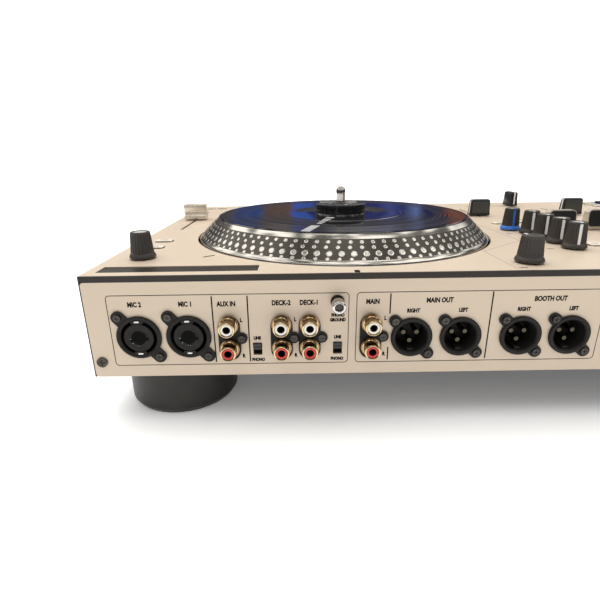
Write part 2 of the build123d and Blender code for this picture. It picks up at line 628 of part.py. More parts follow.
parts["pad_mats"] = group([make_pad_mat(sign * PLATTER_X) for sign in SIDES.values()])
parts["key_mats"] = make_key_mats()
parts["crossfader_cap"] = make_mix_cap(CROSS_X, CROSS_BACK, 90)
for name, place in knobs.items():
    parts[name] = make_knob(*place)
for side, sign in SIDES.items():
    parts[f"{side}_platter"] = make_platter(sign * PLATTER_X)
    parts[f"{side}_slipmat"] = make_slipmat(sign * PLATTER_X)
    parts[f"{side}_record"] = make_record(sign * PLATTER_X)
    parts[f"{side}_adapter"] = make_adapter(sign * PLATTER_X)
    parts[f"{side}_spindle"] = make_spindle(sign * PLATTER_X)
    parts[f"{side}_pitch_fader_cap"] = make_pitch_cap(sign * PITCH_X)
    parts[f"{side}_channel_fader_cap"] = make_mix_cap(sign * LINE_X, LINE_BACK - MIX_TRAVEL / 2, 0)
    parts[f"{side}_fx_paddle"] = make_paddle(sign * PADDLE_X)
    parts[f"{side}_start_button"] = make_start_button(sign * START_X)
    parts[f"{side}_line_switch"] = make_switch_slider(SWITCH_XS[side])

os.makedirs("parts", exist_ok=True)
for name, shape in parts.items():
    export_step(shape, f"parts/{name}.step")
print(len(parts), "parts written")
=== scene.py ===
from math import atan2, cos, hypot, pi, radians, sin
import bmesh
import bpy
from mathutils import Matrix, Vector


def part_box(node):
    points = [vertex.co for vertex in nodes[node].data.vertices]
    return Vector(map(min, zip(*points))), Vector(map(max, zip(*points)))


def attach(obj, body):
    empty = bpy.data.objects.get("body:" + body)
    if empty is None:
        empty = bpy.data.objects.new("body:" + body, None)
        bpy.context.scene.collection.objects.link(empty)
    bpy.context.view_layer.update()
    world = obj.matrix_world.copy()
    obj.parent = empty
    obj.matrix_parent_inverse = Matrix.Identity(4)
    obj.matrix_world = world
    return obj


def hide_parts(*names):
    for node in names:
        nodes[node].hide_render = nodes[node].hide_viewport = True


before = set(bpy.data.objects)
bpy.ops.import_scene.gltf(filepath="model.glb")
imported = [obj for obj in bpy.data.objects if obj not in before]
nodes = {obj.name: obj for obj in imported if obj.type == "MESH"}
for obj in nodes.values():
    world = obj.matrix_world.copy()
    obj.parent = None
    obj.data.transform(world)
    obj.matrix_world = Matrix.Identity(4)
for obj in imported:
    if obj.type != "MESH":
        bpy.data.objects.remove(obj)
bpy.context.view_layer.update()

MM = 0.001

# ---- places read from the frame ----
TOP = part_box("top_plate")[1].z
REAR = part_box("rear_panel")[1].y
SIDES = {"right": 1, "left": -1}


def middle(node):
    lo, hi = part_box(node)
    return (lo + hi) / 2


def solids(node):
    """Boxes (lowest corner, highest corner) of a CAD node's separate solids, from +X to -X."""
    mesh = nodes[node].data
    parent = {}

    def root(key):
        while parent[key] != key:
            key = parent[key]
        return key

    keys = [tuple(round(c, 6) for c in v.co) for v in mesh.vertices]
    for key in keys:
        parent[key] = key
    for edge in mesh.edges:
        parent[root(keys[edge.vertices[0]])] = root(keys[edge.vertices[1]])
    groups = {}
    for key in set(keys):
        groups.setdefault(root(key), []).append(key)
    boxes = []
    for points in groups.values():
        axes = list(zip(*points))
        boxes.append((Vector(map(min, axes)), Vector(map(max, axes))))
    return sorted(boxes, key=lambda b: -b[0].x)


# ---- materials ----
def node(tree, kind, **settings):
    made = tree.nodes.new(kind)
    for key, value in settings.items():
        setattr(made, key, value)
    return made


def noise(tree, scale, detail=4.0):
    """Noise factor in object space."""
    coord = node(tree, "ShaderNodeTexCoord")
    texture = node(tree, "ShaderNodeTexNoise")
    texture.inputs["Scale"].default_value = scale
    texture.inputs["Detail"].default_value = detail
    tree.links.new(coord.outputs["Object"], texture.inputs["Vector"])
    return texture.outputs["Fac"]


def map_range(tree, value, start, end, low=0.0, high=1.0):
    """Maps start to end onto low to high."""
    ranged = node(tree, "ShaderNodeMapRange")
    for key, number in (("From Min", start), ("From Max", end), ("To Min", low), ("To Max", high)):
        ranged.inputs[key].default_value = number
    tree.links.new(value, ranged.inputs["Value"])
    return ranged.outputs["Result"]


def spread(tree, factor, low, high):
    """Maps the middle of a noise factor onto low to high."""
    return map_range(tree, factor, 0.3, 0.7, low, high)


def ramp(tree, factor, low, high):
    colours = node(tree, "ShaderNodeValToRGB")
    colours.color_ramp.elements[0].position = 0.3
    colours.color_ramp.elements[0].color = (*low, 1)
    colours.color_ramp.elements[1].position = 0.7
    colours.color_ramp.elements[1].color = (*high, 1)
    tree.links.new(factor, colours.inputs["Fac"])
    return colours.outputs["Color"]


def finish_of(name, colour, rough, vary=0.08, metallic=0.0, patch=25.0, grain=900.0, bump=0.1, depth=0.05,
              rough_vary=0.06, coat=0.0, specular=0.5, sheen=0.0, emission=0.0):
    """Procedural finish: patchy colour, varying roughness and a fine bump."""
    material = bpy.data.materials.new(name)
    material.use_nodes = True
    tree = material.node_tree
    shader = tree.nodes["Principled BSDF"]
    low = [c * (1 - vary) for c in colour]
    high = [min(1.0, c * (1 + vary)) for c in colour]
    tree.links.new(ramp(tree, noise(tree, patch), low, high), shader.inputs["Base Color"])
    fine = noise(tree, grain, detail=3.0)
    roughness = spread(tree, fine, max(0.02, rough - rough_vary), rough + rough_vary)
    tree.links.new(roughness, shader.inputs["Roughness"])
    relief = node(tree, "ShaderNodeBump")
    relief.inputs["Strength"].default_value = bump
    relief.inputs["Distance"].default_value = depth * MM
    tree.links.new(fine, relief.inputs["Height"])
    tree.links.new(relief.outputs["Normal"], shader.inputs["Normal"])
    shader.inputs["Metallic"].default_value = metallic
    shader.inputs["Coat Weight"].default_value = coat
    shader.inputs["Coat Roughness"].default_value = 0.12
    shader.inputs["Specular IOR Level"].default_value = specular
    shader.inputs["Sheen Weight"].default_value = sheen
    if emission:
        shader.inputs["Emission Color"].default_value = (*colour, 1)
        shader.inputs["Emission Strength"].default_value = emission
    return material


def vinyl_finish(name, centre):
    """Black pressed vinyl: fine rings round the spindle in the bump and in the gloss."""
    material = bpy.data.materials.new(name)
    material.use_nodes = True
    tree = material.node_tree
    shader = tree.nodes["Principled BSDF"]
    coord = node(tree, "ShaderNodeTexCoord")
    shift = node(tree, "ShaderNodeMapping")
    shift.inputs["Location"].default_value = (-centre.x, -centre.y, 0)
    rings = node(tree, "ShaderNodeTexWave", wave_type="RINGS", rings_direction="Z", wave_profile="SIN")
    rings.inputs["Scale"].default_value = 210.0
    rings.inputs["Distortion"].default_value = 0.0
    bands = node(tree, "ShaderNodeTexWave", wave_type="RINGS", rings_direction="Z", wave_profile="TRI")
    bands.inputs["Scale"].default_value = 28.0
    bands.inputs["Distortion"].default_value = 0.0
    tree.links.new(coord.outputs["Object"], shift.inputs["Vector"])
    for wave in (rings, bands):
        tree.links.new(shift.outputs["Vector"], wave.inputs["Vector"])
    tree.links.new(ramp(tree, bands.outputs["Fac"], (0.010, 0.010, 0.012), (0.020, 0.019, 0.020)),
                   shader.inputs["Base Color"])
    tree.links.new(spread(tree, bands.outputs["Fac"], 0.03, 0.09), shader.inputs["Roughness"])
    relief = node(tree, "ShaderNodeBump")
    relief.inputs["Strength"].default_value = 0.06
    relief.inputs["Distance"].default_value = 0.02 * MM
    tree.links.new(rings.outputs["Fac"], relief.inputs["Height"])
    tree.links.new(relief.outputs["Normal"], shader.inputs["Normal"])
    shader.inputs["Specular IOR Level"].default_value = 0.75
    shader.inputs["Coat Weight"].default_value = 0.2
    shader.inputs["Coat Roughness"].default_value = 0.04
    return material


SILVER = finish_of("silver_panel_paint", (0.60, 0.495, 0.385), 0.40, vary=0.02, metallic=0.15, patch=9.0,
                   grain=2600.0, bump=0.12, depth=0.03, rough_vary=0.07)
BLACK_CASE = finish_of("black_case_paint", (0.022, 0.018, 0.016), 0.42, grain=1500.0, bump=0.25, vary=0.2,
                       specular=0.3)
RUBBER = finish_of("foot_rubber", (0.022, 0.020, 0.017), 0.42, grain=700.0, bump=0.2, vary=0.25, patch=60.0,
                   specular=0.35)
STEEL = finish_of("bright_steel", (0.62, 0.61, 0.59), 0.22, metallic=1.0, grain=1800.0, bump=0.06, vary=0.08)
BLACK_SCREW = finish_of("blackened_screw", (0.055, 0.050, 0.045), 0.26, metallic=0.8, grain=900.0, vary=0.2)
SOCKET = finish_of("socket_plastic", (0.008, 0.007, 0.006), 0.40, grain=1300.0, bump=0.15, vary=0.15,
                   specular=0.22)
# near-black with almost no gloss: painted shade for the insides of socket holes
HOLE_SHADE = finish_of("painted_hole_shade", (0.0035, 0.0035, 0.0035), 0.6, grain=1300.0, bump=0.2,
                        vary=0.15, specular=0.05)
LINING = finish_of("socket_lining", (0.016, 0.014, 0.012), 0.5, grain=1300.0, bump=0.2, vary=0.15,
                   specular=0.25)
GOLD = finish_of("gold_plating", (0.27, 0.18, 0.095), 0.20, metallic=1.0, grain=700.0, bump=0.03, vary=0.08)
# painted highlight: the shells' gold plating painted lighter, and a little smoother, for lips and beads
GOLD_HIGHLIGHT = finish_of("gold_lip_highlight", (0.62, 0.48, 0.28), 0.15, metallic=1.0, grain=700.0, bump=0.03,
                     vary=0.08)
CONTACT = finish_of("contact_metal", (0.08, 0.068, 0.05), 0.30, metallic=1.0, grain=900.0, bump=0.03,
                    vary=0.12)
WHITE = finish_of("white_insert", (0.83, 0.80, 0.74), 0.28, grain=700.0, bump=0.04, vary=0.03)
RED = finish_of("red_insert", (0.55, 0.035, 0.03), 0.28, grain=700.0, bump=0.04, vary=0.08)
POLISHED = finish_of("polished_aluminium", (0.66, 0.64, 0.60), 0.13, metallic=1.0, grain=1200.0, bump=0.012,
                     vary=0.05, rough_vary=0.03)
DOT_METAL = finish_of("strobe_dot_metal", (0.74, 0.72, 0.68), 0.20, metallic=1.0, grain=1600.0, bump=0.015,
                      vary=0.06, rough_vary=0.05)
PLATTER_BLACK = finish_of("black_anodised_band", (0.085, 0.078, 0.069), 0.26, metallic=0.85, grain=1400.0,
                          bump=0.03, vary=0.15)
MOTOR = finish_of("motor_metal", (0.35, 0.35, 0.36), 0.4, metallic=1.0)
FELT = finish_of("slipmat_felt", (0.02, 0.02, 0.023), 0.95, grain=2200.0, bump=0.7, sheen=0.4, vary=0.3)
ADAPTER = finish_of("adapter_gloss", (0.007, 0.007, 0.008), 0.14, grain=600.0, bump=0.03, coat=0.5, vary=0.1)
CHROME = finish_of("spindle_chrome", (0.46, 0.43, 0.41), 0.08, metallic=1.0, grain=500.0, bump=0.02,
                   vary=0.04,
                   rough_vary=0.03)
KNOB = finish_of("knob_rubber", (0.036, 0.032, 0.028), 0.40, grain=1500.0, bump=0.25, vary=0.15)
# painted highlight: light grey standing in for the sky's reflection on the knobs' upturned dished tops
KNOB_TOP_HIGHLIGHT = finish_of("knob_top_highlight", (0.50, 0.47, 0.43), 0.35, grain=1500.0, bump=0.08, vary=0.05)
BLUE = finish_of("filter_blue", (0.035, 0.16, 0.62), 0.38, grain=1500.0, bump=0.08, vary=0.08)
POINTER = finish_of("pointer_white", (0.80, 0.80, 0.79), 0.4, grain=1500.0, bump=0.05, vary=0.03)
FADER = finish_of("fader_plastic", (0.013, 0.013, 0.015), 0.34, grain=1500.0, bump=0.18, vary=0.15)
CAP_FACE = finish_of("fader_face_plastic", (0.045, 0.047, 0.045), 0.45, grain=1500.0, bump=0.15, vary=0.08)
PITCH = finish_of("pitch_cap_metal", (0.70, 0.63, 0.53), 0.30, metallic=0.6, grain=1800.0, bump=0.012,
                  vary=0.04)
INNER = finish_of("inner_plastic", (0.03, 0.03, 0.033), 0.55, grain=900.0, vary=0.15)
BOARD = finish_of("solder_mask", (0.012, 0.075, 0.03), 0.35, grain=500.0, vary=0.25, patch=120.0)
STRIP = finish_of("strip_gloss", (0.022, 0.019, 0.016), 0.36, grain=500.0, bump=0.03, vary=0.12,
                  specular=0.25)
PAD = finish_of("pad_silicone", (0.030, 0.030, 0.033), 0.62, grain=900.0, bump=0.3, vary=0.1, sheen=0.1)
KEY = finish_of("key_silicone", (0.62, 0.565, 0.475), 0.55, grain=900.0, bump=0.15, vary=0.04)
START = finish_of("start_button_face", (0.52, 0.50, 0.46), 0.38, grain=900.0, bump=0.08, vary=0.04)
PRINT = finish_of("panel_print", (0.008, 0.006, 0.006), 0.6, grain=900.0, bump=0.05, vary=0.15, specular=0.08)
FAINT = finish_of("faint_print", (0.30, 0.22, 0.18), 0.5, grain=900.0, bump=0.05, vary=0.1)
STRIPE = finish_of("record_marker", (0.36, 0.36, 0.355), 0.38, grain=600.0, bump=0.1, vary=0.08, patch=90.0)
PAD_GLOW = finish_of("pad_light_ring", (0.10, 0.20, 0.75), 0.4, grain=900.0, vary=0.1)

FINISH = {
    "chassis_tub": BLACK_CASE, "top_plate": SILVER, "rear_panel": SILVER, "feet": RUBBER,
    "screws": BLACK_SCREW,
    "combo_jacks": SOCKET, "xlr_sockets": SOCKET, "contact_pins": CONTACT, "rca_blocks": SOCKET,
    "rca_shells": GOLD,
    "white_rca_inserts": WHITE, "red_rca_inserts": RED, "power_inlet": SOCKET, "power_rocker": FADER,
    "board_sockets": STEEL, "ground_terminal": STEEL, "platter_motors": MOTOR, "fader_bodies": INNER,
    "potentiometers": INNER, "switch_bodies": INNER, "circuit_boards": BOARD, "touch_strips": STRIP,
    "pad_mats": PAD, "key_mats": KEY, "crossfader_cap": FADER,
}
for side in SIDES:
    FINISH.update({f"{side}_slipmat": FELT, f"{side}_adapter": ADAPTER, f"{side}_spindle": CHROME,
                   f"{side}_pitch_fader_cap": PITCH, f"{side}_channel_fader_cap": FADER,
                   f"{side}_fx_paddle": PITCH, f"{side}_start_button": START, f"{side}_line_switch": FADER})


def paint_cad():
    for name, material in FINISH.items():
        data = nodes[name].data
        if not data.materials:
            data.materials.append(material)
        for slot in nodes[name].material_slots:
            slot.link = "OBJECT"
            slot.material = material


# ---- mesh makers ----
def keep(name, bm, material, body, smooth=35.0):
    """Makes the mesh an object that rides on a body."""
    bmesh.ops.remove_doubles(bm, verts=bm.verts, dist=1e-7)
    bmesh.ops.recalc_face_normals(bm, faces=bm.faces)
    mesh = bpy.data.meshes.new(name)
    bm.to_mesh(mesh)
    bm.free()
    obj = bpy.data.objects.new(name, mesh)
    bpy.context.scene.collection.objects.link(obj)
    for item in material if isinstance(material, (list, tuple)) else [material]:
        mesh.materials.append(item)
    for polygon in mesh.polygons:
        polygon.use_smooth = True
    for edge in mesh.edges:
        edge.use_edge_sharp = False
    mesh.set_sharp_from_angle(angle=radians(smooth))
    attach(obj, body)
    return obj


def lathe_into(bm, profile, place, segments=64, flutes=None, tags=None):
    """Spins (radius mm, height mm) points about local Z. flutes is (count, depth mm, low mm, high mm)."""
    rings = []
    for radius, height in profile:
        if radius < 1e-6:
            rings.append([bm.verts.new(place @ Vector((0, 0, height * MM)))])
            continue
        ring = []
        for k in range(segments):
            angle = 2 * pi * k / segments
            r = radius
            if flutes and flutes[2] <= height <= flutes[3]:
                r -= flutes[1] * (0.5 + 0.5 * cos(flutes[0] * angle))
            ring.append(bm.verts.new(place @ Vector((r * cos(angle) * MM, r * sin(angle) * MM, height * MM))))
        rings.append(ring)
    for index, (a, b) in enumerate(zip(rings, rings[1:])):
        for k in range(segments):
            j = (k + 1) % segments
            corners = [a[k % len(a)], a[j % len(a)], b[j % len(b)], b[k % len(b)]]
            corners = list(dict.fromkeys(corners))
            if len(corners) > 2:
                face = bm.faces.new(corners)
                if tags:
                    face.material_index = tags[index]


def lathe(name, profile, place, material, body, slot, **options):
    bm = bmesh.new()
    lathe_into(bm, profile, place, **options)
    return keep(name, bm, material, body)


def rounded(width, depth, radius, steps=5):
    """Points round a rectangle with rounded corners, in mm."""
    radius = min(radius, width / 2 - 1e-3, depth / 2 - 1e-3)
    points = []
    for corner, (sx, sy) in enumerate(((1, 1), (-1, 1), (-1, -1), (1, -1))):
        for k in range(steps + 1):
            angle = (corner + k / steps) * pi / 2
            points.append((sx * (width / 2 - radius) + radius * cos(angle),
                           sy * (depth / 2 - radius) + radius * sin(angle)))
    return points


def loft_into(bm, sections, place, steps=5):
    """Closed solid through rounded rectangles: (height, width, depth, corner radius) in mm."""
    rings = []
    for height, width, depth, radius in sections:
        rings.append([bm.verts.new(place @ Vector((x * MM, y * MM, height * MM)))
                      for x, y in rounded(width, depth, radius, steps)])
    for a, b in zip(rings, rings[1:]):
        for k in range(len(a)):
            j = (k + 1) % len(a)
            bm.faces.new((a[k], a[j], b[j], b[k]))
    bm.faces.new(rings[0][::-1])
    bm.faces.new(rings[-1])


def cushion(width, depth, low, high, corner, edge=0.6):
    """Sections of a block whose top edge is rounded."""
    sections = [(low, width, depth, corner)]
    for k in range(5):
        angle = k / 4 * pi / 2
        inset = 2 * edge * (1 - cos(angle))
        sections.append((high - edge + edge * sin(angle), width - inset, depth - inset,
                         max(corner - inset / 2, 0.1)))
    return sections


def ribbon_into(bm, points, width, place, closed=False, thick=0.09):
    """Thin printed line along points (mm) in the local XY plane."""
    count = len(points)
    sides = []
    for k, (x, y) in enumerate(points):
        before = points[k - 1] if closed or k else points[k]
        after = points[(k + 1) % count] if closed or k < count - 1 else points[k]
        dx, dy = after[0] - before[0], after[1] - before[1]
        length = hypot(dx, dy) or 1.0
        nx, ny = -dy / length * width / 2, dx / length * width / 2
        sides.append([(x + nx, y + ny), (x - nx, y - ny)])
    layers = [[[bm.verts.new(place @ Vector((p[0] * MM, p[1] * MM, z * MM))) for p in pair] for pair in sides]
              for z in (-0.05, thick - 0.05)]
    low, high = layers
    spans = range(count if closed else count - 1)
    for k in spans:
        j = (k + 1) % count
        bm.faces.new((high[k][0], high[k][1], high[j][1], high[j][0]))
        bm.faces.new((low[k][1], low[k][0], low[j][0], low[j][1]))
        for s in (0, 1):
            bm.faces.new((low[k][s], high[k][s], high[j][s], low[j][s]))
    if not closed:
        for k in (0, count - 1):
            bm.faces.new((low[k][0], low[k][1], high[k][1], high[k][0]))


REAR_VIEW = Matrix(((-1, 0, 0, 0), (0, 0, 1, 0), (0, 1, 0, 0), (0, 0, 0, 1)))


def rear_place(x, z, out=0.0):
    """Plane on the rear face, as seen from behind; x in metres, z in metres."""
    return Matrix.Translation((x, REAR + out * MM, z)) @ REAR_VIEW


def deck_place(x, y, up=0.0):
    return Matrix.Translation((x, y, TOP + up * MM))


def label(name, text, place, size, squeeze=0.78, bold=0.0):
    """Generic printed word, centred on its place; size is the capital height in mm."""
    curve = bpy.data.curves.new(name, "FONT")
    curve.body = text
    curve.align_x, curve.align_y = "CENTER", "CENTER"
    curve.size = size * MM / 0.70
    curve.extrude = 0.04 * MM
    curve.offset = bold * MM
    curve.resolution_u = 3
    obj = bpy.data.objects.new(name, curve)
    bpy.context.scene.collection.objects.link(obj)
    bpy.context.view_layer.update()
    mesh = bpy.data.meshes.new_from_object(obj.evaluated_get(bpy.context.evaluated_depsgraph_get()))
    bpy.data.objects.remove(obj)
    mesh.transform(place @ Matrix.Diagonal((squeeze, 1, 1, 1)))
    mesh.materials.clear()
    mesh.materials.append(PRINT)
    obj = bpy.data.objects.new(name, mesh)
    bpy.context.scene.collection.objects.link(obj)
    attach(obj, "root")
    return obj


# ---- platter stack ----
# radius mm, dot size mm, dots in the row, first dot's angle in degrees
STROBE_ROWS = ((96.8, 1.2, 96, 84.0), (99.4, 1.2, 93, 83.6), (102.5, 1.85, 93, 84.8), (105.1, 1.15, 98, 84.2))
CONE_FOOT = (106.0, 2.1)     # radius and height, mm above the deck
CONE_HEAD = (95.2, 12.5)
STRIPE_TURN = 71.0           # where the record's marker lies, degrees from +X
RECORD_OUTER = 91.45
RECORD_TOP = 15.4
ADAPTER_RADIUS = 19.05
HUB_PIN_RADIUS = 4.2         # the spindle inside the adapter and the hub


def deck_axis(side, up=0.0):
    centre = middle(f"{side}_spindle")
    return Matrix.Translation((centre.x, centre.y, TOP + up * MM))


def build_platter(side):
    """Cast platter: polished lip and ring, black band between them, magnet ring and hub shaft below."""
    outer = [
        (92.0, 12.5, 0), (92.0, 14.6, 1), (92.3, 14.9, 1), (92.9, 14.9, 1), (95.0, 12.75, 1),
        (95.35, 12.5, 1),
        (95.6, 12.2, 0), (105.6, 2.45, 0), (105.85, 2.2, 1), (106.15, 2.0, 1), (107.3, 0.75, 1),
        (107.5, 0.4, 1),
        (107.5, -2.8, 1), (107.3, -3.0, 1), (104, -3.0, 0), (100, 0, 0), (92, 7, 0), (46, 7, 0), (46, -30, 1),
        (42, -30, 1), (42, 7, 1), (18, 7, 0), (18, -4, 0), (7, -4, 0), (7, -46, 1), (4.25, -46, 1),
        (4.25, 12.5, 1),
        (92.0, 12.5, 0)]
    profile = [(r, h) for r, h, _ in outer]
    tags = [tag for _, _, tag in outer[1:]]
    piece = lathe(f"{side}_platter_casting", profile, deck_axis(side), [PLATTER_BLACK, POLISHED],
                  f"{side}_platter",
                  "platter_metal", segments=240, tags=tags)
    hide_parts(f"{side}_platter")


def build_strobe_dots(side):
    """Four rows of turned dots on the cone, each a low rim round a shallow dish."""
    bm = bmesh.new()
    axis = deck_axis(side)
    slope = atan2(CONE_HEAD[1] - CONE_FOOT[1], CONE_FOOT[0] - CONE_HEAD[0])
    for radius, size, count, first in STROBE_ROWS:
        climb = (CONE_HEAD[1] - CONE_FOOT[1]) / (CONE_FOOT[0] - CONE_HEAD[0])
        height = CONE_FOOT[1] + (CONE_FOOT[0] - radius) * climb
        dish = [(size, -0.12), (size, 0.12), (size * 0.88, 0.2), (size * 0.5, 0.17), (0, 0.16)]
        for k in range(count):
            angle = radians(first) + 2 * pi * k / count
            place = axis @ Matrix.Rotation(angle, 4, "Z") @ Matrix.Translation((radius * MM, 0, height * MM))
            lathe_into(bm, dish, place @ Matrix.Rotation(pi / 2 - slope, 4, "Y"), segments=18)
    keep(f"{side}_strobe_dots", bm, DOT_METAL, f"{side}_platter", smooth=60.0)


def build_record(side):
    """Pressed record: raised bead at the edge, bands of grooves, run-out and a raised middle."""
    bottom = RECORD_TOP - 2.0
    profile = [(19.1, bottom), (RECORD_OUTER - 0.5, bottom), (RECORD_OUTER - 0.1, bottom + 0.4),
               (RECORD_OUTER, bottom + 1.0), (RECORD_OUTER - 0.1, RECORD_TOP - 0.4),
               (RECORD_OUTER - 0.5, RECORD_TOP - 0.05), (RECORD_OUTER - 1.4, RECORD_TOP),
               (RECORD_OUTER - 2.4, RECORD_TOP - 0.16)]
    radius = RECORD_OUTER - 2.9
    step = 0
    while radius > 70:
        profile.append((radius, RECORD_TOP - (0.20 if step % 4 else 0.10)))
        radius -= 0.75
        step += 1
    profile += [(69.5, RECORD_TOP - 0.20), (69, RECORD_TOP - 0.20), (46.6, RECORD_TOP - 0.20),
                (46.2, RECORD_TOP - 0.20),
                (45.8, RECORD_TOP - 0.02), (45.4, RECORD_TOP), (45, RECORD_TOP), (19.6, RECORD_TOP),
                (19.1, RECORD_TOP - 0.1), (19.1, bottom)]
    centre = middle(f"{side}_record")
    vinyl = vinyl_finish(f"{side}_vinyl", centre)
    piece = lathe(f"{side}_pressed_record", profile, deck_axis(side), vinyl, f"{side}_record", "vinyl",
                  segments=200)
    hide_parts(f"{side}_record")
    bm = bmesh.new()
    turn = STRIPE_TURN if side == "right" else 180.0 - STRIPE_TURN
    place = deck_axis(side, RECORD_TOP) @ Matrix.Rotation(radians(turn), 4, "Z")
    ribbon_into(bm, [(67.5, 0), (90.0, 0)], 5.8, place, thick=0.07)
    for index, (start, reach) in enumerate(((56.5, 3.6), (50.5, 4.2), (44.5, 3.2), (38.0, 4.6), (29.5, 5.6))):
        across = 3.4 + 0.6 * index
        ribbon_into(bm, [(start, 0), (start + reach, 0)], across, place, thick=0.07)
    keep(f"{side}_record_marker", bm, STRIPE, f"{side}_record")


def build_adapter(side):
    """Large-hole puck with a turned edge, a dished top and a waist line."""
    r, low, top = ADAPTER_RADIUS, 13.4, 22.7
    profile = [(HUB_PIN_RADIUS, low), (r, low), (r, low + 1.9), (r - 0.15, low + 2.1), (r - 0.15, low + 4.5),
               (r - 0.3, low + 4.65), (r - 0.15, low + 4.8), (r - 0.15, top - 1.0), (r - 0.15, top - 0.7),
               (r - 0.45, top - 0.25), (r - 0.95, top), (r - 1.3, top), (r - 1.9, top), (r - 2.2, top - 0.1),
               (r - 3.2, top - 0.7), (r - 3.6, top - 0.9), (r - 6, top - 1.15), (6.5, top - 1.3),
               (5.4, top - 0.95),
               (HUB_PIN_RADIUS, top - 0.9), (HUB_PIN_RADIUS, low)]
    piece = lathe(f"{side}_turned_adapter", profile, deck_axis(side), ADAPTER, f"{side}_record",
                  "adapter_plastic",
                  segments=128)
    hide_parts(f"{side}_adapter")


def build_spindle(side):
    """Plated pin: thicker in the hub, then a shoulder, a neck groove and a domed end."""
    low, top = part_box(f"{side}_spindle")[0].z / MM - TOP / MM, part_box(f"{side}_spindle")[1].z / MM - TOP / MM
    profile = [(0, low), (3.9, low), (HUB_PIN_RADIUS, low + 0.3), (HUB_PIN_RADIUS, 21.6), (3.5, 21.8),
               (3.5, top - 6.2), (3.25, top - 5.9),
               (3.25, top - 5.4), (3.5, top - 5.1), (3.5, top - 3.0), (3.2, top - 1.9), (2.6, top - 0.9),
               (1.6, top - 0.25), (0.9, top - 0.02), (0, top)]
    piece = lathe(f"{side}_spindle_pin", profile, deck_axis(side), CHROME, f"{side}_record", "spindle_chrome",
                  segments=48)
    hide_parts(f"{side}_spindle")


# ---- knobs ----
FLUTE_COUNT = 22


def knob_place(name):
    centre = middle(name)
    return Matrix.Translation((centre.x, centre.y, TOP))


def build_knob(name, skirt, pointer=None, turn=90.0, top_face=KNOB_TOP_HIGHLIGHT):
    """Fluted tapered cap with a skirt ring, a dished top, its shaft and, on a pot, a pointer line; the dished
    top's default light grey is a painted highlight.
    """
    lo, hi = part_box(name)
    radius, height = (hi.x - lo.x) / 2 / MM, (hi.z - TOP) / MM
    place = knob_place(name)
    foot, head = radius - 0.95, radius - 1.9
    body = [(3.0, 1.6), (foot, 1.6), (foot, 3.8)]
    for k in range(1, 9):
        body.append((foot - (foot - head) * k / 8, 3.8 + (height - 5.0) * k / 8))
    body += [(head - 0.08, height - 0.7), (head - 0.28, height - 0.32), (head - 0.65, height - 0.08),
             (head - 1.1, height), (head - 1.6, height - 0.1), (head - 2.0, height - 0.45)]
    cap = lathe(f"{name}_cap", body, place, KNOB, name, "knob_plastic", segments=FLUTE_COUNT * 8,
                flutes=(FLUTE_COUNT, 0.38, 4.2, height - 1.1))
    # dished top, light grey by default: painted highlight
    dish = [(head - 2.0, height - 0.45), (head - 2.3, height - 0.5), (1.4, height - 0.62), (0, height - 0.64)]
    crown = lathe(f"{name}_crown", dish, place, top_face, name, "knob_plastic", segments=64)
    ring = [(3.0, 1.0), (radius - 0.1, 1.0), (radius, 1.15), (radius, 1.9), (radius - 0.3, 2.6),
            (radius - 0.75, 3.4),
            (radius - 1.0, 3.7), (radius - 1.3, 3.7)]
    flange = lathe(f"{name}_skirt", ring, place, skirt, name, "knob_plastic", segments=72)
    shaft = lathe(f"{name}_shaft", [(0, -12), (3.0, -12), (3.0, 1.6), (0, 1.6)], place, STEEL, name,
                  "knob_plastic",
                  segments=32)
    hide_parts(name)
    if pointer:
        bm = bmesh.new()
        spin = place @ Matrix.Rotation(radians(turn), 4, "Z")
        lean = atan2(foot - head, height - 5.0)
        rise = spin @ Matrix.Translation(((foot - 0.37) * MM, 0, 3.0 * MM)) @ Matrix.Rotation(-lean, 4, "Y")
        loft_into(bm, [(0, 0.9, 1.6, 0.2), ((height - 4.1) / cos(lean), 0.9, 1.6, 0.2)], rise)
        loft_into(bm, [(height - 0.5, 2.2, 1.5, 0.2), (height + 0.03, 2.0, 1.4, 0.2)],
                  spin @ Matrix.Translation(((head - 1.5) * MM, 0, 0)))
        keep(f"{name}_pointer", bm, pointer, name)


def build_knobs():
    for side in SIDES:
        build_knob(f"{side}_loop_encoder", KNOB)
        for band in ("gain", "high", "mid", "low"):
            build_knob(f"{side}_{band}_knob", KNOB, POINTER, turn=78.0)
        build_knob(f"{side}_filter_knob", BLUE, BLUE, turn=84.0)
    build_knob("browse_encoder", KNOB)
    build_knob("main_volume_knob", KNOB, POINTER, turn=-60.0, top_face=KNOB)
    build_knob("mic_volume_knob", KNOB, POINTER, turn=-120.0, top_face=KNOB)


# ---- faders, paddles, buttons ----
STEM_SECTIONS = [(-10, 1.2, 6.0, 0.2), (2, 1.2, 6.0, 0.2)]
PITCH_X = 314.5
LINE_X = 44.0
LINE_BACK = 222.5            # middle of a channel fader's travel, mm in front of the rear face
MIX_TRAVEL = 45.0


def band_into(bm, path, half, place, proud=0.06, deep=0.35):
    """Inlaid stripe that follows (x, height) points over a cap; half is half its width along local Y."""
    rows = []
    for k, (x, height) in enumerate(path):
        ahead, behind = path[min(k + 1, len(path) - 1)], path[max(k - 1, 0)]
        run, climb = ahead[0] - behind[0], ahead[1] - behind[1]
        size = hypot(run, climb)
        nx, nz = -climb / size, run / size
        rows.append([bm.verts.new(place @ Vector(((x + nx * out) * MM, y * MM, (height + nz * out) * MM)))
                     for y, out in ((-half, -deep), (-half, proud), (half, proud), (half, -deep))])
    for a, b in zip(rows, rows[1:]):
        for k in range(4):
            bm.faces.new((a[k], a[(k + 1) % 4], b[(k + 1) % 4], b[k]))
    bm.faces.new(rows[0])
    bm.faces.new(rows[-1])


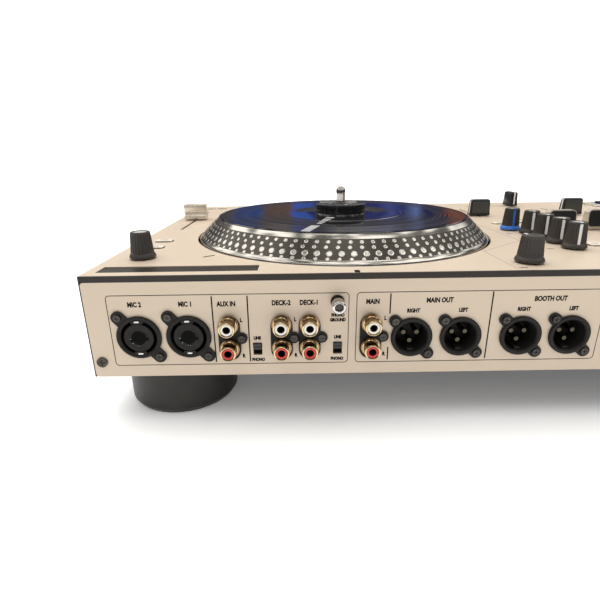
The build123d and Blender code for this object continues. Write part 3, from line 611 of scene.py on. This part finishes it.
def build_mix_cap(name, body, turn, face=CAP_FACE):
    """Mixer fader cap with a flared foot, rounded top, paler faces and a marker line over its length."""
    lo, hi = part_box(name)
    centre = (lo + hi) / 2
    place = Matrix.Translation((centre.x, centre.y, TOP)) @ Matrix.Rotation(radians(turn), 4, "Z")
    top = (hi.z - TOP) / MM
    sections = [(0.9, 18.4, 7.9, 0.8), (1.3, 19.0, 8.5, 1.0), (2.1, 19.0, 8.5, 1.0), (3.0, 18.5, 7.9, 1.0),
                (8.0, 18.1, 7.4, 1.1), (top - 1.9, 17.7, 7.0, 1.2)]
    for k in range(1, 6):
        angle = k / 5 * pi / 2
        inset = 3.6 * (1 - cos(angle))
        sections.append((top - 1.9 + 1.9 * sin(angle), 17.6 - inset, 6.9 - inset * 0.8, 1.2))
    bm = bmesh.new()
    loft_into(bm, sections, place, steps=6)
    loft_into(bm, STEM_SECTIONS, place)
    cap = keep(f"{name}_moulding", bm, FADER, body, smooth=40.0)
    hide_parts(name)
    bm = bmesh.new()
    lean = atan2(0.45, top - 4.9)
    for sign in (1, -1):
        plate = place @ Matrix.Translation((0, sign * 3.74 * MM, (top + 1.1) / 2 * MM))
        plate = plate @ Matrix.Rotation(sign * lean, 4, "X") @ Matrix.Rotation(-sign * pi / 2, 4, "X")
        loft_into(bm, [(-0.4, 15.8, top - 5.2, 0.8), (0.02, 15.8, top - 5.2, 0.8),
                       (0.08, 15.6, top - 5.4, 0.7)], plate)
    keep(f"{name}_faces", bm, face, body)
    bm = bmesh.new()
    half_path = [(9.3, 2.6), (9.1, 6.0), (8.95, 10.0), (8.82, top - 1.9), (8.6, top - 1.1), (8.0, top - 0.35),
                 (7.1, top)]
    band_into(bm, [(-x, h) for x, h in half_path] + half_path[::-1], 0.75, place)
    keep(f"{name}_marker", bm, POINTER, body)


def build_pitch_cap(side):
    """Wide metal cap: finger dish, overhanging head, bright rib over a groove, and a flared foot."""
    name = f"{side}_pitch_fader_cap"
    lo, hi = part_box(name)
    place = Matrix.Translation(((lo.x + hi.x) / 2, (lo.y + hi.y) / 2, TOP))
    outline = [(6.3, 1.2), (6.5, 1.4), (6.5, 3.9), (6.3, 4.4), (4.9, 5.4), (4.3, 6.1), (4.2, 6.9),
               (5.0, 7.2), (5.3, 7.6),
               (5.2, 8.1), (4.9, 8.4), (5.0, 9.0), (5.5, 13.8), (5.3, 14.4), (4.8, 14.6), (2.8, 14.6),
               (1.5, 13.6),
               (0.0, 13.2)]
    outline += [(-y, h) for y, h in outline[-2::-1]]
    bm = bmesh.new()
    rings = []
    for x, shrink in ((-10.0, 0.25), (-9.9, 0.08), (-9.6, 0.0), (9.6, 0.0), (9.9, 0.08), (10.0, 0.25)):
        ring = []
        for y, h in outline:
            lower = 1.2 + (h - 1.2) * (1 - shrink / 7)
            ring.append(bm.verts.new(place @ Vector((x * MM, y * (1 - shrink / 5) * MM, lower * MM))))
        rings.append(ring)
    for a, b in zip(rings, rings[1:]):
        for k in range(len(a)):
            j = (k + 1) % len(a)
            bm.faces.new((a[k], a[j], b[j], b[k]))
    bm.faces.new(rings[0][::-1])
    bm.faces.new(rings[-1])
    loft_into(bm, STEM_SECTIONS, place)
    cap = keep(f"{name}_casting", bm, PITCH, f"{side}_pitch_fader", smooth=50.0)
    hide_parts(name)


def build_paddle_face(side):
    """Dark rounded inserts on both faces of the metal paddle."""
    lo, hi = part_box(f"{side}_fx_paddle")
    centre = (lo + hi) / 2
    top = (hi.z - TOP) / MM
    bm = bmesh.new()
    for sign in (1, -1):
        lean = atan2(1.4, top - 2.4)
        middle_h = (top + 2.4) / 2
        face = Matrix.Translation((centre.x, centre.y + sign * 3.3 * MM, TOP + middle_h * MM))
        face = face @ Matrix.Rotation(sign * lean, 4, "X") @ Matrix.Rotation(-sign * pi / 2, 4, "X")
        loft_into(bm, [(-0.3, 19.6, top - 3.4, 2.6), (0.35, 19.6, top - 3.4, 2.6),
                       (0.6, 19.0, top - 4.0, 2.3)], face)
    keep(f"{side}_paddle_inserts", bm, FADER, f"{side}_fx_paddle")


def build_pads():
    """Raised silicone pads with a light ring round each."""
    for side, sign in SIDES.items():
        lo, hi = [(a, b) for a, b in solids("pad_mats") if (a.x > 0) == (sign > 0)][0]
        x, y = (lo.x + hi.x) / 2, (lo.y + hi.y) / 2
        pads, glow = bmesh.new(), bmesh.new()
        for column in (-1.5, -0.5, 0.5, 1.5):
            for row in (-0.5, 0.5):
                place = Matrix.Translation((x + column * 28 * MM, y + row * 28 * MM, TOP))
                loft_into(pads, cushion(24.0, 24.0, -0.6, 2.25, 2.4, edge=0.9), place)
                loft_into(glow, cushion(25.6, 25.6, -0.7, -0.15, 3.0, edge=0.3), place)
        keep(f"{side}_pads", pads, PAD, "root")
        keep(f"{side}_pad_light_frames", glow, PAD_GLOW, "root")


def build_keys():
    """Rounded face on every silicone key, with a small raised dash for the finger."""
    faces, marks = bmesh.new(), bmesh.new()
    for lo, hi in solids("key_mats"):
        width, depth = (hi.x - lo.x) / MM - 2, (hi.y - lo.y) / MM - 2
        place = Matrix.Translation(((lo.x + hi.x) / 2, (lo.y + hi.y) / 2, TOP))
        loft_into(faces, cushion(width, depth, -1.5, 0.98, 1.1, edge=0.5), place)
        loft_into(marks, cushion(width * 0.45, 0.9, 0.9, 1.06, 0.4, edge=0.08), place)
    keep("key_faces", faces, KEY, "root")
    keep("key_marks", marks, PRINT, "root")


def build_start_buttons():
    for side in SIDES:
        lo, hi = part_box(f"{side}_start_button")
        place = Matrix.Translation(((lo.x + hi.x) / 2, (lo.y + hi.y) / 2, TOP))
        top = (hi.z - TOP) / MM
        bm = bmesh.new()
        loft_into(bm, cushion(25.2, 25.2, -5, top, 2.8, edge=0.8), place, steps=8)
        loft_into(bm, [(-7, 6, 6, 0.4), (-4.9, 6, 6, 0.4)], place)
        cap = keep(f"{side}_start_button_cap", bm, START, f"{side}_start_button")
        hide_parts(f"{side}_start_button")
        bm = bmesh.new()
        face = place @ Matrix.Translation((0, 0, (top - 0.03) * MM))
        ribbon_into(bm, rounded(20, 20, 2, 5), 0.6, face, closed=True)
        ribbon_into(bm, [(-3.5, -2.8), (-3.5, 2.8), (1.2, 0)], 0.7, face, closed=True)
        for x in (2.6, 4.4):
            ribbon_into(bm, [(x, -2.8), (x, 2.8)], 0.9, face)
        keep(f"{side}_start_button_print", bm, PRINT, f"{side}_start_button")


# ---- rear sockets ----
def build_combo_details():
    """Bevelled flange ring, dished core, retaining tabs and contact tips of each combined jack, and painted
    shade: a near-black disc with slots in the contact hollow.
    """
    rims, tabs, tips, cores, dark = bmesh.new(), bmesh.new(), bmesh.new(), bmesh.new(), bmesh.new()
    for lo, hi in solids("combo_jacks"):
        x, z = (lo.x + hi.x) / 2, TOP - 33.9 * MM
        place = rear_place(x, z)
        lathe_into(rims, [(9.75, 1.0), (12.0, 1.0), (12.0, 1.35), (11.6, 1.7), (10.6, 1.7), (10.0, 1.25),
                          (9.75, 1.0)],
                   place, segments=72)
        lathe_into(cores, [(4.3, 0.9), (7.6, 0.9), (7.85, 1.1), (7.7, 1.3), (7.1, 1.35), (5.4, 1.1),
                           (4.3, 0.9)], place,
                   segments=64)
        # painted shade: a near-black disc with three slots set in the contact hole, standing for the shade in it
        lathe_into(dark, [(0, 0.8), (3.9, 0.8), (4.0, 1.22), (3.7, 1.26), (0, 1.2)], place, segments=48)
        for angle in (200, 270, 350):
            at = place @ Matrix.Rotation(radians(angle), 4, "Z") @ Matrix.Translation((3.9 * MM, 0, 0))
            loft_into(dark, [(0.8, 3.0, 2.0, 0.9), (1.24, 3.0, 2.0, 0.9)], at)
        for angle in (188, 222, 262, 276):
            at = place @ Matrix.Rotation(radians(angle), 4, "Z") @ Matrix.Translation((4.7 * MM, 0, 0))
            lathe_into(tips, [(0, 1.1), (0.22, 1.2), (0.15, 1.36), (0, 1.4)], at, segments=10)
        for sign in (1, -1):
            loft_into(tabs, [(0.9, 2.6, 0.8, 0.3), (1.75, 2.6, 0.8, 0.3), (1.9, 2.4, 0.55, 0.2)],
                      place @ Matrix.Translation((0, sign * 9.2 * MM, 0)))
            loft_into(rims, [(0.6, 6.4, 1.7, 0.4), (1.4, 6.4, 1.7, 0.4)],
                      place @ Matrix.Translation((0, sign * 8.8 * MM, 0)))
    keep("combo_jack_rims", rims, SOCKET, "root")
    keep("combo_jack_cores", cores, SOCKET, "root")
    keep("combo_jack_hole_shade", dark, HOLE_SHADE, "root")
    keep("combo_jack_tabs", tabs, POINTER, "root")
    keep("combo_jack_contacts", tips, STEEL, "root")


def build_xlr_details():
    """Bevelled rim, dark lining and key of each three-pin socket."""
    rims, linings = bmesh.new(), bmesh.new()
    for lo, hi in solids("xlr_sockets"):
        place = rear_place((lo.x + hi.x) / 2, (lo.z + hi.z) / 2)
        lathe_into(rims, [(8.6, 1.0), (11.1, 1.0), (11.1, 1.4), (10.7, 1.75), (9.4, 1.75), (8.9, 1.4),
                          (8.6, 1.0)], place,
                   segments=72)
        lathe_into(linings, [(8.7, 0.9), (8.98, 0.6), (8.98, -12.95), (0, -12.95), (0, -12.7), (8.7, -12.7),
                             (8.7, 0.9)],
                   place, segments=64)
        loft_into(linings, [(-8, 3.2, 1.6, 0.3), (-0.6, 3.2, 1.6, 0.3)],
                  place @ Matrix.Translation((0, -8.0 * MM, 0)))
    keep("xlr_rims", rims, SOCKET, "root")
    keep("xlr_linings", linings, LINING, "root")


def build_insert_faces():
    """Rounded ends of the phono inserts with a near-black plug in each bore as painted shade, and the beads and
    lip of each gold shell in a lighter gold as painted highlight.
    """
    lips, bores = bmesh.new(), bmesh.new()
    for node_name, material, slot in (("white_rca_inserts", WHITE, "white_plastic"),
                                      ("red_rca_inserts", RED, "red_plastic")):
        bm = bmesh.new()
        for lo, hi in solids(node_name):
            place = rear_place((lo.x + hi.x) / 2, (lo.z + hi.z) / 2)
            lathe_into(bm, [(2.0, 8.3), (3.28, 8.3), (3.28, 8.7), (2.95, 9.15), (2.5, 9.25), (2.1, 9.1),
                            (2.0, 8.8),
                            (2.0, 8.3)], place, segments=48)
            # painted shade: a near-black plug filling each insert's bore
            lathe_into(bores, [(0, -0.9), (1.63, -0.9), (1.63, 8.62), (2.05, 8.62), (2.05, 8.74),
                               (1.5, 8.74), (1.5, 2.0),
                               (0, 2.0)], place, segments=32)
            # lip and bead in the lighter gold: painted highlight
            lathe_into(lips, [(3.3, 8.6), (4.15, 8.6), (4.25, 8.8), (4.15, 9.15), (3.8, 9.3), (3.4, 9.15),
                              (3.3, 8.6)],
                       place, segments=48)
            lathe_into(lips, [(4.1, 2.3), (4.5, 2.4), (4.5, 2.9), (4.1, 3.1)], place, segments=48)
        keep(f"{node_name}_faces", bm, material, "root")
    keep("rca_shell_lips", lips, GOLD_HIGHLIGHT, "root")
    keep("rca_bore_shade", bores, HOLE_SHADE, "root")


def build_ground_nut():
    """Knurled thumb nut with a chamfered end."""
    lo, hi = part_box("ground_terminal")
    x, z = (lo.x + hi.x) / 2, (lo.z + hi.z) / 2
    place = rear_place(x, z)
    low, high, r = 4.0, (hi.y - REAR) / MM, 3.5
    profile = [(2.05, low), (r - 0.4, low), (r, low + 0.4)]
    profile += [(r, low + 0.4 + (high - low - 1.0) * k / 6) for k in range(1, 7)]
    profile += [(r - 0.35, high - 0.2), (r - 0.8, high), (2.4, high), (2.05, high - 0.4), (2.05, low)]
    nut = lathe("ground_nut", profile, place, STEEL, "ground_terminal", "steel", segments=144,
                flutes=(20, 0.42, low + 0.5, high - 0.7))
    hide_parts("ground_terminal")


# ---- printing ----
# word, x mm, height mm above the deck, capital height mm
REAR_LABELS = (
    ("MIC 2", 304.5, -15.6, 2.6), ("MIC 1", 277.8, -15.6, 2.6), ("AUX IN", 256.3, -15.8, 2.6),
    ("DECK-2", 227.4, -15.6, 2.6), ("DECK-1", 212.7, -15.6, 2.6), ("L", 249.0, -25.0, 2.1),
    ("R", 248.5, -46.0, 2.1),
    ("L", 220.2, -25.0, 2.1), ("R", 220.0, -46.0, 2.1), ("LINE", 240.8, -35.5, 1.7),
    ("PHONO", 240.6, -48.4, 1.7),
    ("LINE", 197.4, -35.5, 1.7), ("PHONO", 197.5, -48.4, 1.7), ("PHONO", 197.4, -22.9, 1.7),
    ("GROUND", 197.4, -25.6, 1.7), ("MAIN", 179.1, -15.6, 2.6), ("L", 172.0, -25.0, 2.1),
    ("R", 172.0, -46.0, 2.1),
    ("MAIN OUT", 143.8, -15.3, 2.6), ("RIGHT", 157.3, -21.0, 2.1), ("LEFT", 130.8, -21.0, 2.1),
    ("BOOTH OUT", 85.2, -15.3, 2.6), ("RIGHT", 98.5, -21.0, 2.1), ("LEFT", 72.0, -21.0, 2.1),
    ("USB", 11.0, -22.0, 2.6), ("POWER", -268.0, -15.5, 2.6),
)
# frames by their two x places, then upright bars as x, top and bottom, in mm
REAR_FRAMES = ((319.0, 191.7), (187.5, 56.0), (36.0, -14.0), (-226.0, -308.0))
REAR_BARS = ((263.8, -11.3, -49.4), (245.1, -11.3, -49.4), (169.8, -11.2, -22.4), (169.8, -41.9, -49.4),
             (116.0, -10.9, -49.5))


def print_rear_panel():
    lines = bmesh.new()
    for x0, x1 in REAR_FRAMES:
        top, bottom = -10.4, -50.7
        place = rear_place((x0 + x1) / 2 * MM, TOP + (top + bottom) / 2 * MM)
        ribbon_into(lines, rounded(abs(x0 - x1), top - bottom, 2.0, 6), 0.38, place, closed=True)
    for x, high, low in REAR_BARS:
        ribbon_into(lines, [(0, high), (0, low)], 0.7, rear_place(x * MM, TOP))
    keep("rear_print_lines", lines, PRINT, "root")
    for index, (text, x, height, size) in enumerate(REAR_LABELS):
        label(f"rear_label_{index + 1}", text, rear_place(x * MM, TOP + height * MM), size, bold=0.19)


def print_deck():
    """Printed divisions, scales round the pots and fader scales on the top plate."""
    lines, faint = bmesh.new(), bmesh.new()
    back = REAR / MM
    plain = deck_place(0, 0)
    for sign in SIDES.values():
        ribbon_into(faint, [(sign * 103, back - 5), (sign * 103, back - 47)], 0.4, plain)
        ribbon_into(faint, [(sign * 65, back - 78), (sign * 65, back - 215)], 0.4, plain)
        ribbon_into(faint, [(sign * 103, back - 47), (sign * 65, back - 78)], 0.4, plain)
        ribbon_into(faint, [(sign * 65, back - 215), (sign * 103, back - 246), (sign * 103, back - 303)],
                    0.4, plain)
        ribbon_into(lines, [(sign * 275.4, back - 41.3), (sign * 269.4, back - 45.8)], 1.7, plain)
        ribbon_into(lines, [(sign * 187.3, back - 1.7), (sign * 187.3, back - 6.4)], 2.8, plain)
        for index in range(-5, 6):
            reach = 6.0 if index % 5 == 0 else 3.5
            y = middle("right_pitch_fader_cap").y / MM + index * 10
            for edge in (1, -1):
                start = sign * PITCH_X + edge * 2.6
                ribbon_into(faint, [(start, y), (start + edge * reach, y)], 0.35, plain)
        for index in range(-4, 5):
            y = back - LINE_BACK + index * MIX_TRAVEL / 8
            for edge in (1, -1):
                start = sign * LINE_X + edge * 3.0
                ribbon_into(faint, [(start, y), (start + edge * (5.0 if index % 4 == 0 else 3.2), y)], 0.3,
                            plain)
    for index in range(-4, 5):
        x = index * MIX_TRAVEL / 8
        ribbon_into(faint, [(x, back - 281), (x, back - (285 if index % 4 == 0 else 283.5))], 0.3, plain)
    knobs = [f"{side}_{band}_knob" for side in SIDES for band in ("gain", "high", "mid", "low", "filter")]
    for name in knobs + ["main_volume_knob", "mic_volume_knob"]:
        centre = middle(name)
        for k in range(11):
            angle = radians(240 - 30 * k)
            ray = Vector((cos(angle), sin(angle)))
            ribbon_into(faint, [tuple(ray * 8.9), tuple(ray * (10.2 if k % 5 == 0 else 9.6))], 0.3,
                        deck_place(centre.x, centre.y))
    keep("deck_print_marks", lines, PRINT, "root")
    keep("deck_print_lines", faint, FAINT, "root")
    words = [("MAIN", 99, 6.5), ("MIC", -99, 6.5), ("SELECT", 0, 75)]
    for sign in SIDES.values():
        words += [("LOOP", sign * 311.2, 54), ("START", sign * 274, 295), ("+", sign * 325, 143),
                  ("-", sign * 325, 257)]
        words += [(text, sign * 59.5, distance) for text, distance in
                  (("GAIN", 51), ("HIGH", 69), ("MID", 87), ("LOW", 105))]
    for index, (text, x, distance) in enumerate(words):
        label(f"deck_label_{index + 1}", text, deck_place(x * MM, REAR - distance * MM), 1.7, bold=0.03)


# ---- camera and light ----
def place_camera():
    camera = bpy.data.cameras.new("camera")
    camera.sensor_width = 36.0
    camera.lens = 25.35
    camera.clip_start, camera.clip_end = 0.01, 50
    obj = bpy.data.objects.new("camera", camera)
    bpy.context.scene.collection.objects.link(obj)
    right = Vector((-0.99989, 0.00896, -0.01212))
    upward = Vector((-0.01437, -0.32593, 0.94528))
    behind = Vector((0.00452, 0.94535, 0.32603))
    rows = Matrix((right, upward, behind)).transposed().to_4x4()
    obj.matrix_world = Matrix.Translation((0.21843, REAR + 0.20931, 0.1441)) @ rows
    bpy.context.scene.camera = obj


def area_light(name, place, aim, size, watts, colour):
    """Square lamp at a place, turned to face aim."""
    data = bpy.data.lights.new(name, "AREA")
    data.energy, data.color = watts, colour
    data.shape = "SQUARE"
    data.size = size
    obj = bpy.data.objects.new(name, data)
    bpy.context.scene.collection.objects.link(obj)
    obj.location = place
    obj.rotation_euler = (Vector(aim) - Vector(place)).to_track_quat("-Z", "Y").to_euler()
    return obj


# what shiny surfaces see low down on the player's side: degrees from straight ahead, and colour
REFLECTED_PATCHES = (
    (-8.6, (0.09, 0.085, 0.08)), (-8.0, (0.035, 0.075, 0.27)), (-5.0, (0.035, 0.075, 0.27)),
    (-4.0, (0.13, 0.085, 0.075)), (-1.0, (0.15, 0.085, 0.07)), (0.0, (0.05, 0.12, 0.55)),
    (2.0, (0.04, 0.1, 0.42)), (2.8, (0.02, 0.03, 0.14)), (10.5, (0.025, 0.035, 0.16)),
    (12.2, (0.06, 0.085, 0.33)), (14.0, (0.025, 0.035, 0.16)), (15.6, (0.15, 0.22, 0.48)),
    (16.6, (0.02, 0.025, 0.1)), (18.9, (0.03, 0.03, 0.06)), (19.8, (0.3, 0.09, 0.04)),
)
PATCH_START, PATCH_END = -15, 25     # degrees covered by the patches


def light_room():
    """World: even white for the eye and for soft light; shiny surfaces see a dim room with bright patches."""
    world = bpy.data.worlds.new("studio")
    bpy.context.scene.world = world
    world.use_nodes = True
    tree = world.node_tree
    link = tree.links.new
    output = tree.nodes["World Output"]
    soft = tree.nodes["Background"]
    soft.inputs["Color"].default_value = (1.0, 0.99, 0.97, 1)
    soft.inputs["Strength"].default_value = 0.58
    seen = node(tree, "ShaderNodeBackground")
    seen.inputs["Color"].default_value = (1, 1, 1, 1)
    seen.inputs["Strength"].default_value = 1.15
    room = node(tree, "ShaderNodeBackground")
    coord = node(tree, "ShaderNodeTexCoord")
    axes = node(tree, "ShaderNodeSeparateXYZ")
    link(coord.outputs["Generated"], axes.inputs["Vector"])
    patches = node(tree, "ShaderNodeTexNoise")
    patches.inputs["Scale"].default_value = 4.6
    patches.inputs["Detail"].default_value = 1.5
    link(coord.outputs["Generated"], patches.inputs["Vector"])
    bright = node(tree, "ShaderNodeValToRGB")
    for element, position, level in zip(bright.color_ramp.elements, (0.44, 0.58), (0.13, 1.7)):
        element.position = position
        element.color = (level, level * 0.96, level * 0.90, 1)
    link(patches.outputs["Fac"], bright.inputs["Fac"])
    lift = map_range(tree, axes.outputs["Z"], 0.20, 0.42)
    upper = node(tree, "ShaderNodeMix", data_type="RGBA")
    upper.inputs["A"].default_value = (0.085, 0.082, 0.09, 1)
    link(lift, upper.inputs["Factor"])
    link(bright.outputs["Color"], upper.inputs["B"])
    # coloured patches low down on the player's side, for the record to reflect
    turn = node(tree, "ShaderNodeMath", operation="ARCTAN2")
    for index, axis in enumerate("XY"):
        flipped = node(tree, "ShaderNodeMath", operation="MULTIPLY")
        flipped.inputs[1].default_value = -1.0
        link(axes.outputs[axis], flipped.inputs[0])
        link(flipped.outputs[0], turn.inputs[index])
    spot = map_range(tree, turn.outputs[0], radians(PATCH_START), radians(PATCH_END))
    screens = node(tree, "ShaderNodeValToRGB")
    stops = screens.color_ramp.elements
    stops[0].position, stops[0].color = 0.0, (0.10, 0.09, 0.08, 1)
    stops[1].position, stops[1].color = 1.0, (0.10, 0.09, 0.08, 1)
    for degree, colour in REFLECTED_PATCHES:
        stop = stops.new((degree - PATCH_START) / (PATCH_END - PATCH_START))
        stop.color = (*colour, 1)
    link(spot, screens.inputs["Fac"])
    low = map_range(tree, axes.outputs["Z"], 0.148, 0.130)
    ahead = map_range(tree, axes.outputs["Y"], -0.85, -0.89)
    inside = node(tree, "ShaderNodeMath", operation="MULTIPLY")
    link(low, inside.inputs[0])
    link(ahead, inside.inputs[1])
    whole = node(tree, "ShaderNodeMix", data_type="RGBA")
    link(inside.outputs[0], whole.inputs["Factor"])
    link(upper.outputs["Result"], whole.inputs["A"])
    link(screens.outputs["Color"], whole.inputs["B"])
    link(whole.outputs["Result"], room.inputs["Color"])
    path = node(tree, "ShaderNodeLightPath")
    shiny = node(tree, "ShaderNodeMixShader")
    link(path.outputs["Is Glossy Ray"], shiny.inputs["Fac"])
    link(soft.outputs[0], shiny.inputs[1])
    link(room.outputs[0], shiny.inputs[2])
    final = node(tree, "ShaderNodeMixShader")
    link(path.outputs["Is Camera Ray"], final.inputs["Fac"])
    link(shiny.outputs[0], final.inputs[1])
    link(seen.outputs[0], final.inputs[2])
    link(final.outputs[0], output.inputs["Surface"])


def build_stage():
    """Pale floor and soft light from above."""
    bm = bmesh.new()
    loft_into(bm, [(-10, 3600, 3600, 10), (-0.05, 3600, 3600, 10)], Matrix.Identity(4), steps=2)
    mesh = bpy.data.meshes.new("floor")
    bm.to_mesh(mesh)
    bm.free()
    floor = bpy.data.objects.new("floor", mesh)
    bpy.context.scene.collection.objects.link(floor)
    material = finish_of("floor_paper", (0.94, 0.94, 0.94), 0.75, vary=0.003, grain=300.0, bump=0.02,
                         specular=0.2,
                         emission=0.12)
    mesh.materials.append(material)
    light_room()
    overhead = area_light("overhead", (0.7, -0.7, 3.0), (0.1, 0.0, 0.0), 4.5, 185, (1.0, 0.99, 0.97))
    overhead.visible_glossy = False
    bpy.context.scene.view_settings.view_transform = "Standard"


# ---- making ----
place_camera()
build_stage()
paint_cad()
for deck_side in SIDES:
    build_platter(deck_side)
    build_strobe_dots(deck_side)
    build_record(deck_side)
    build_adapter(deck_side)
    build_spindle(deck_side)
    build_paddle_face(deck_side)
    build_pitch_cap(deck_side)
    build_mix_cap(f"{deck_side}_channel_fader_cap", f"{deck_side}_channel_fader", 0)
build_mix_cap("crossfader_cap", "crossfader", 90, face=FADER)
build_knobs()
build_pads()
build_keys()
build_start_buttons()
build_combo_details()
build_xlr_details()
build_insert_faces()
build_ground_nut()
print_rear_panel()
print_deck()
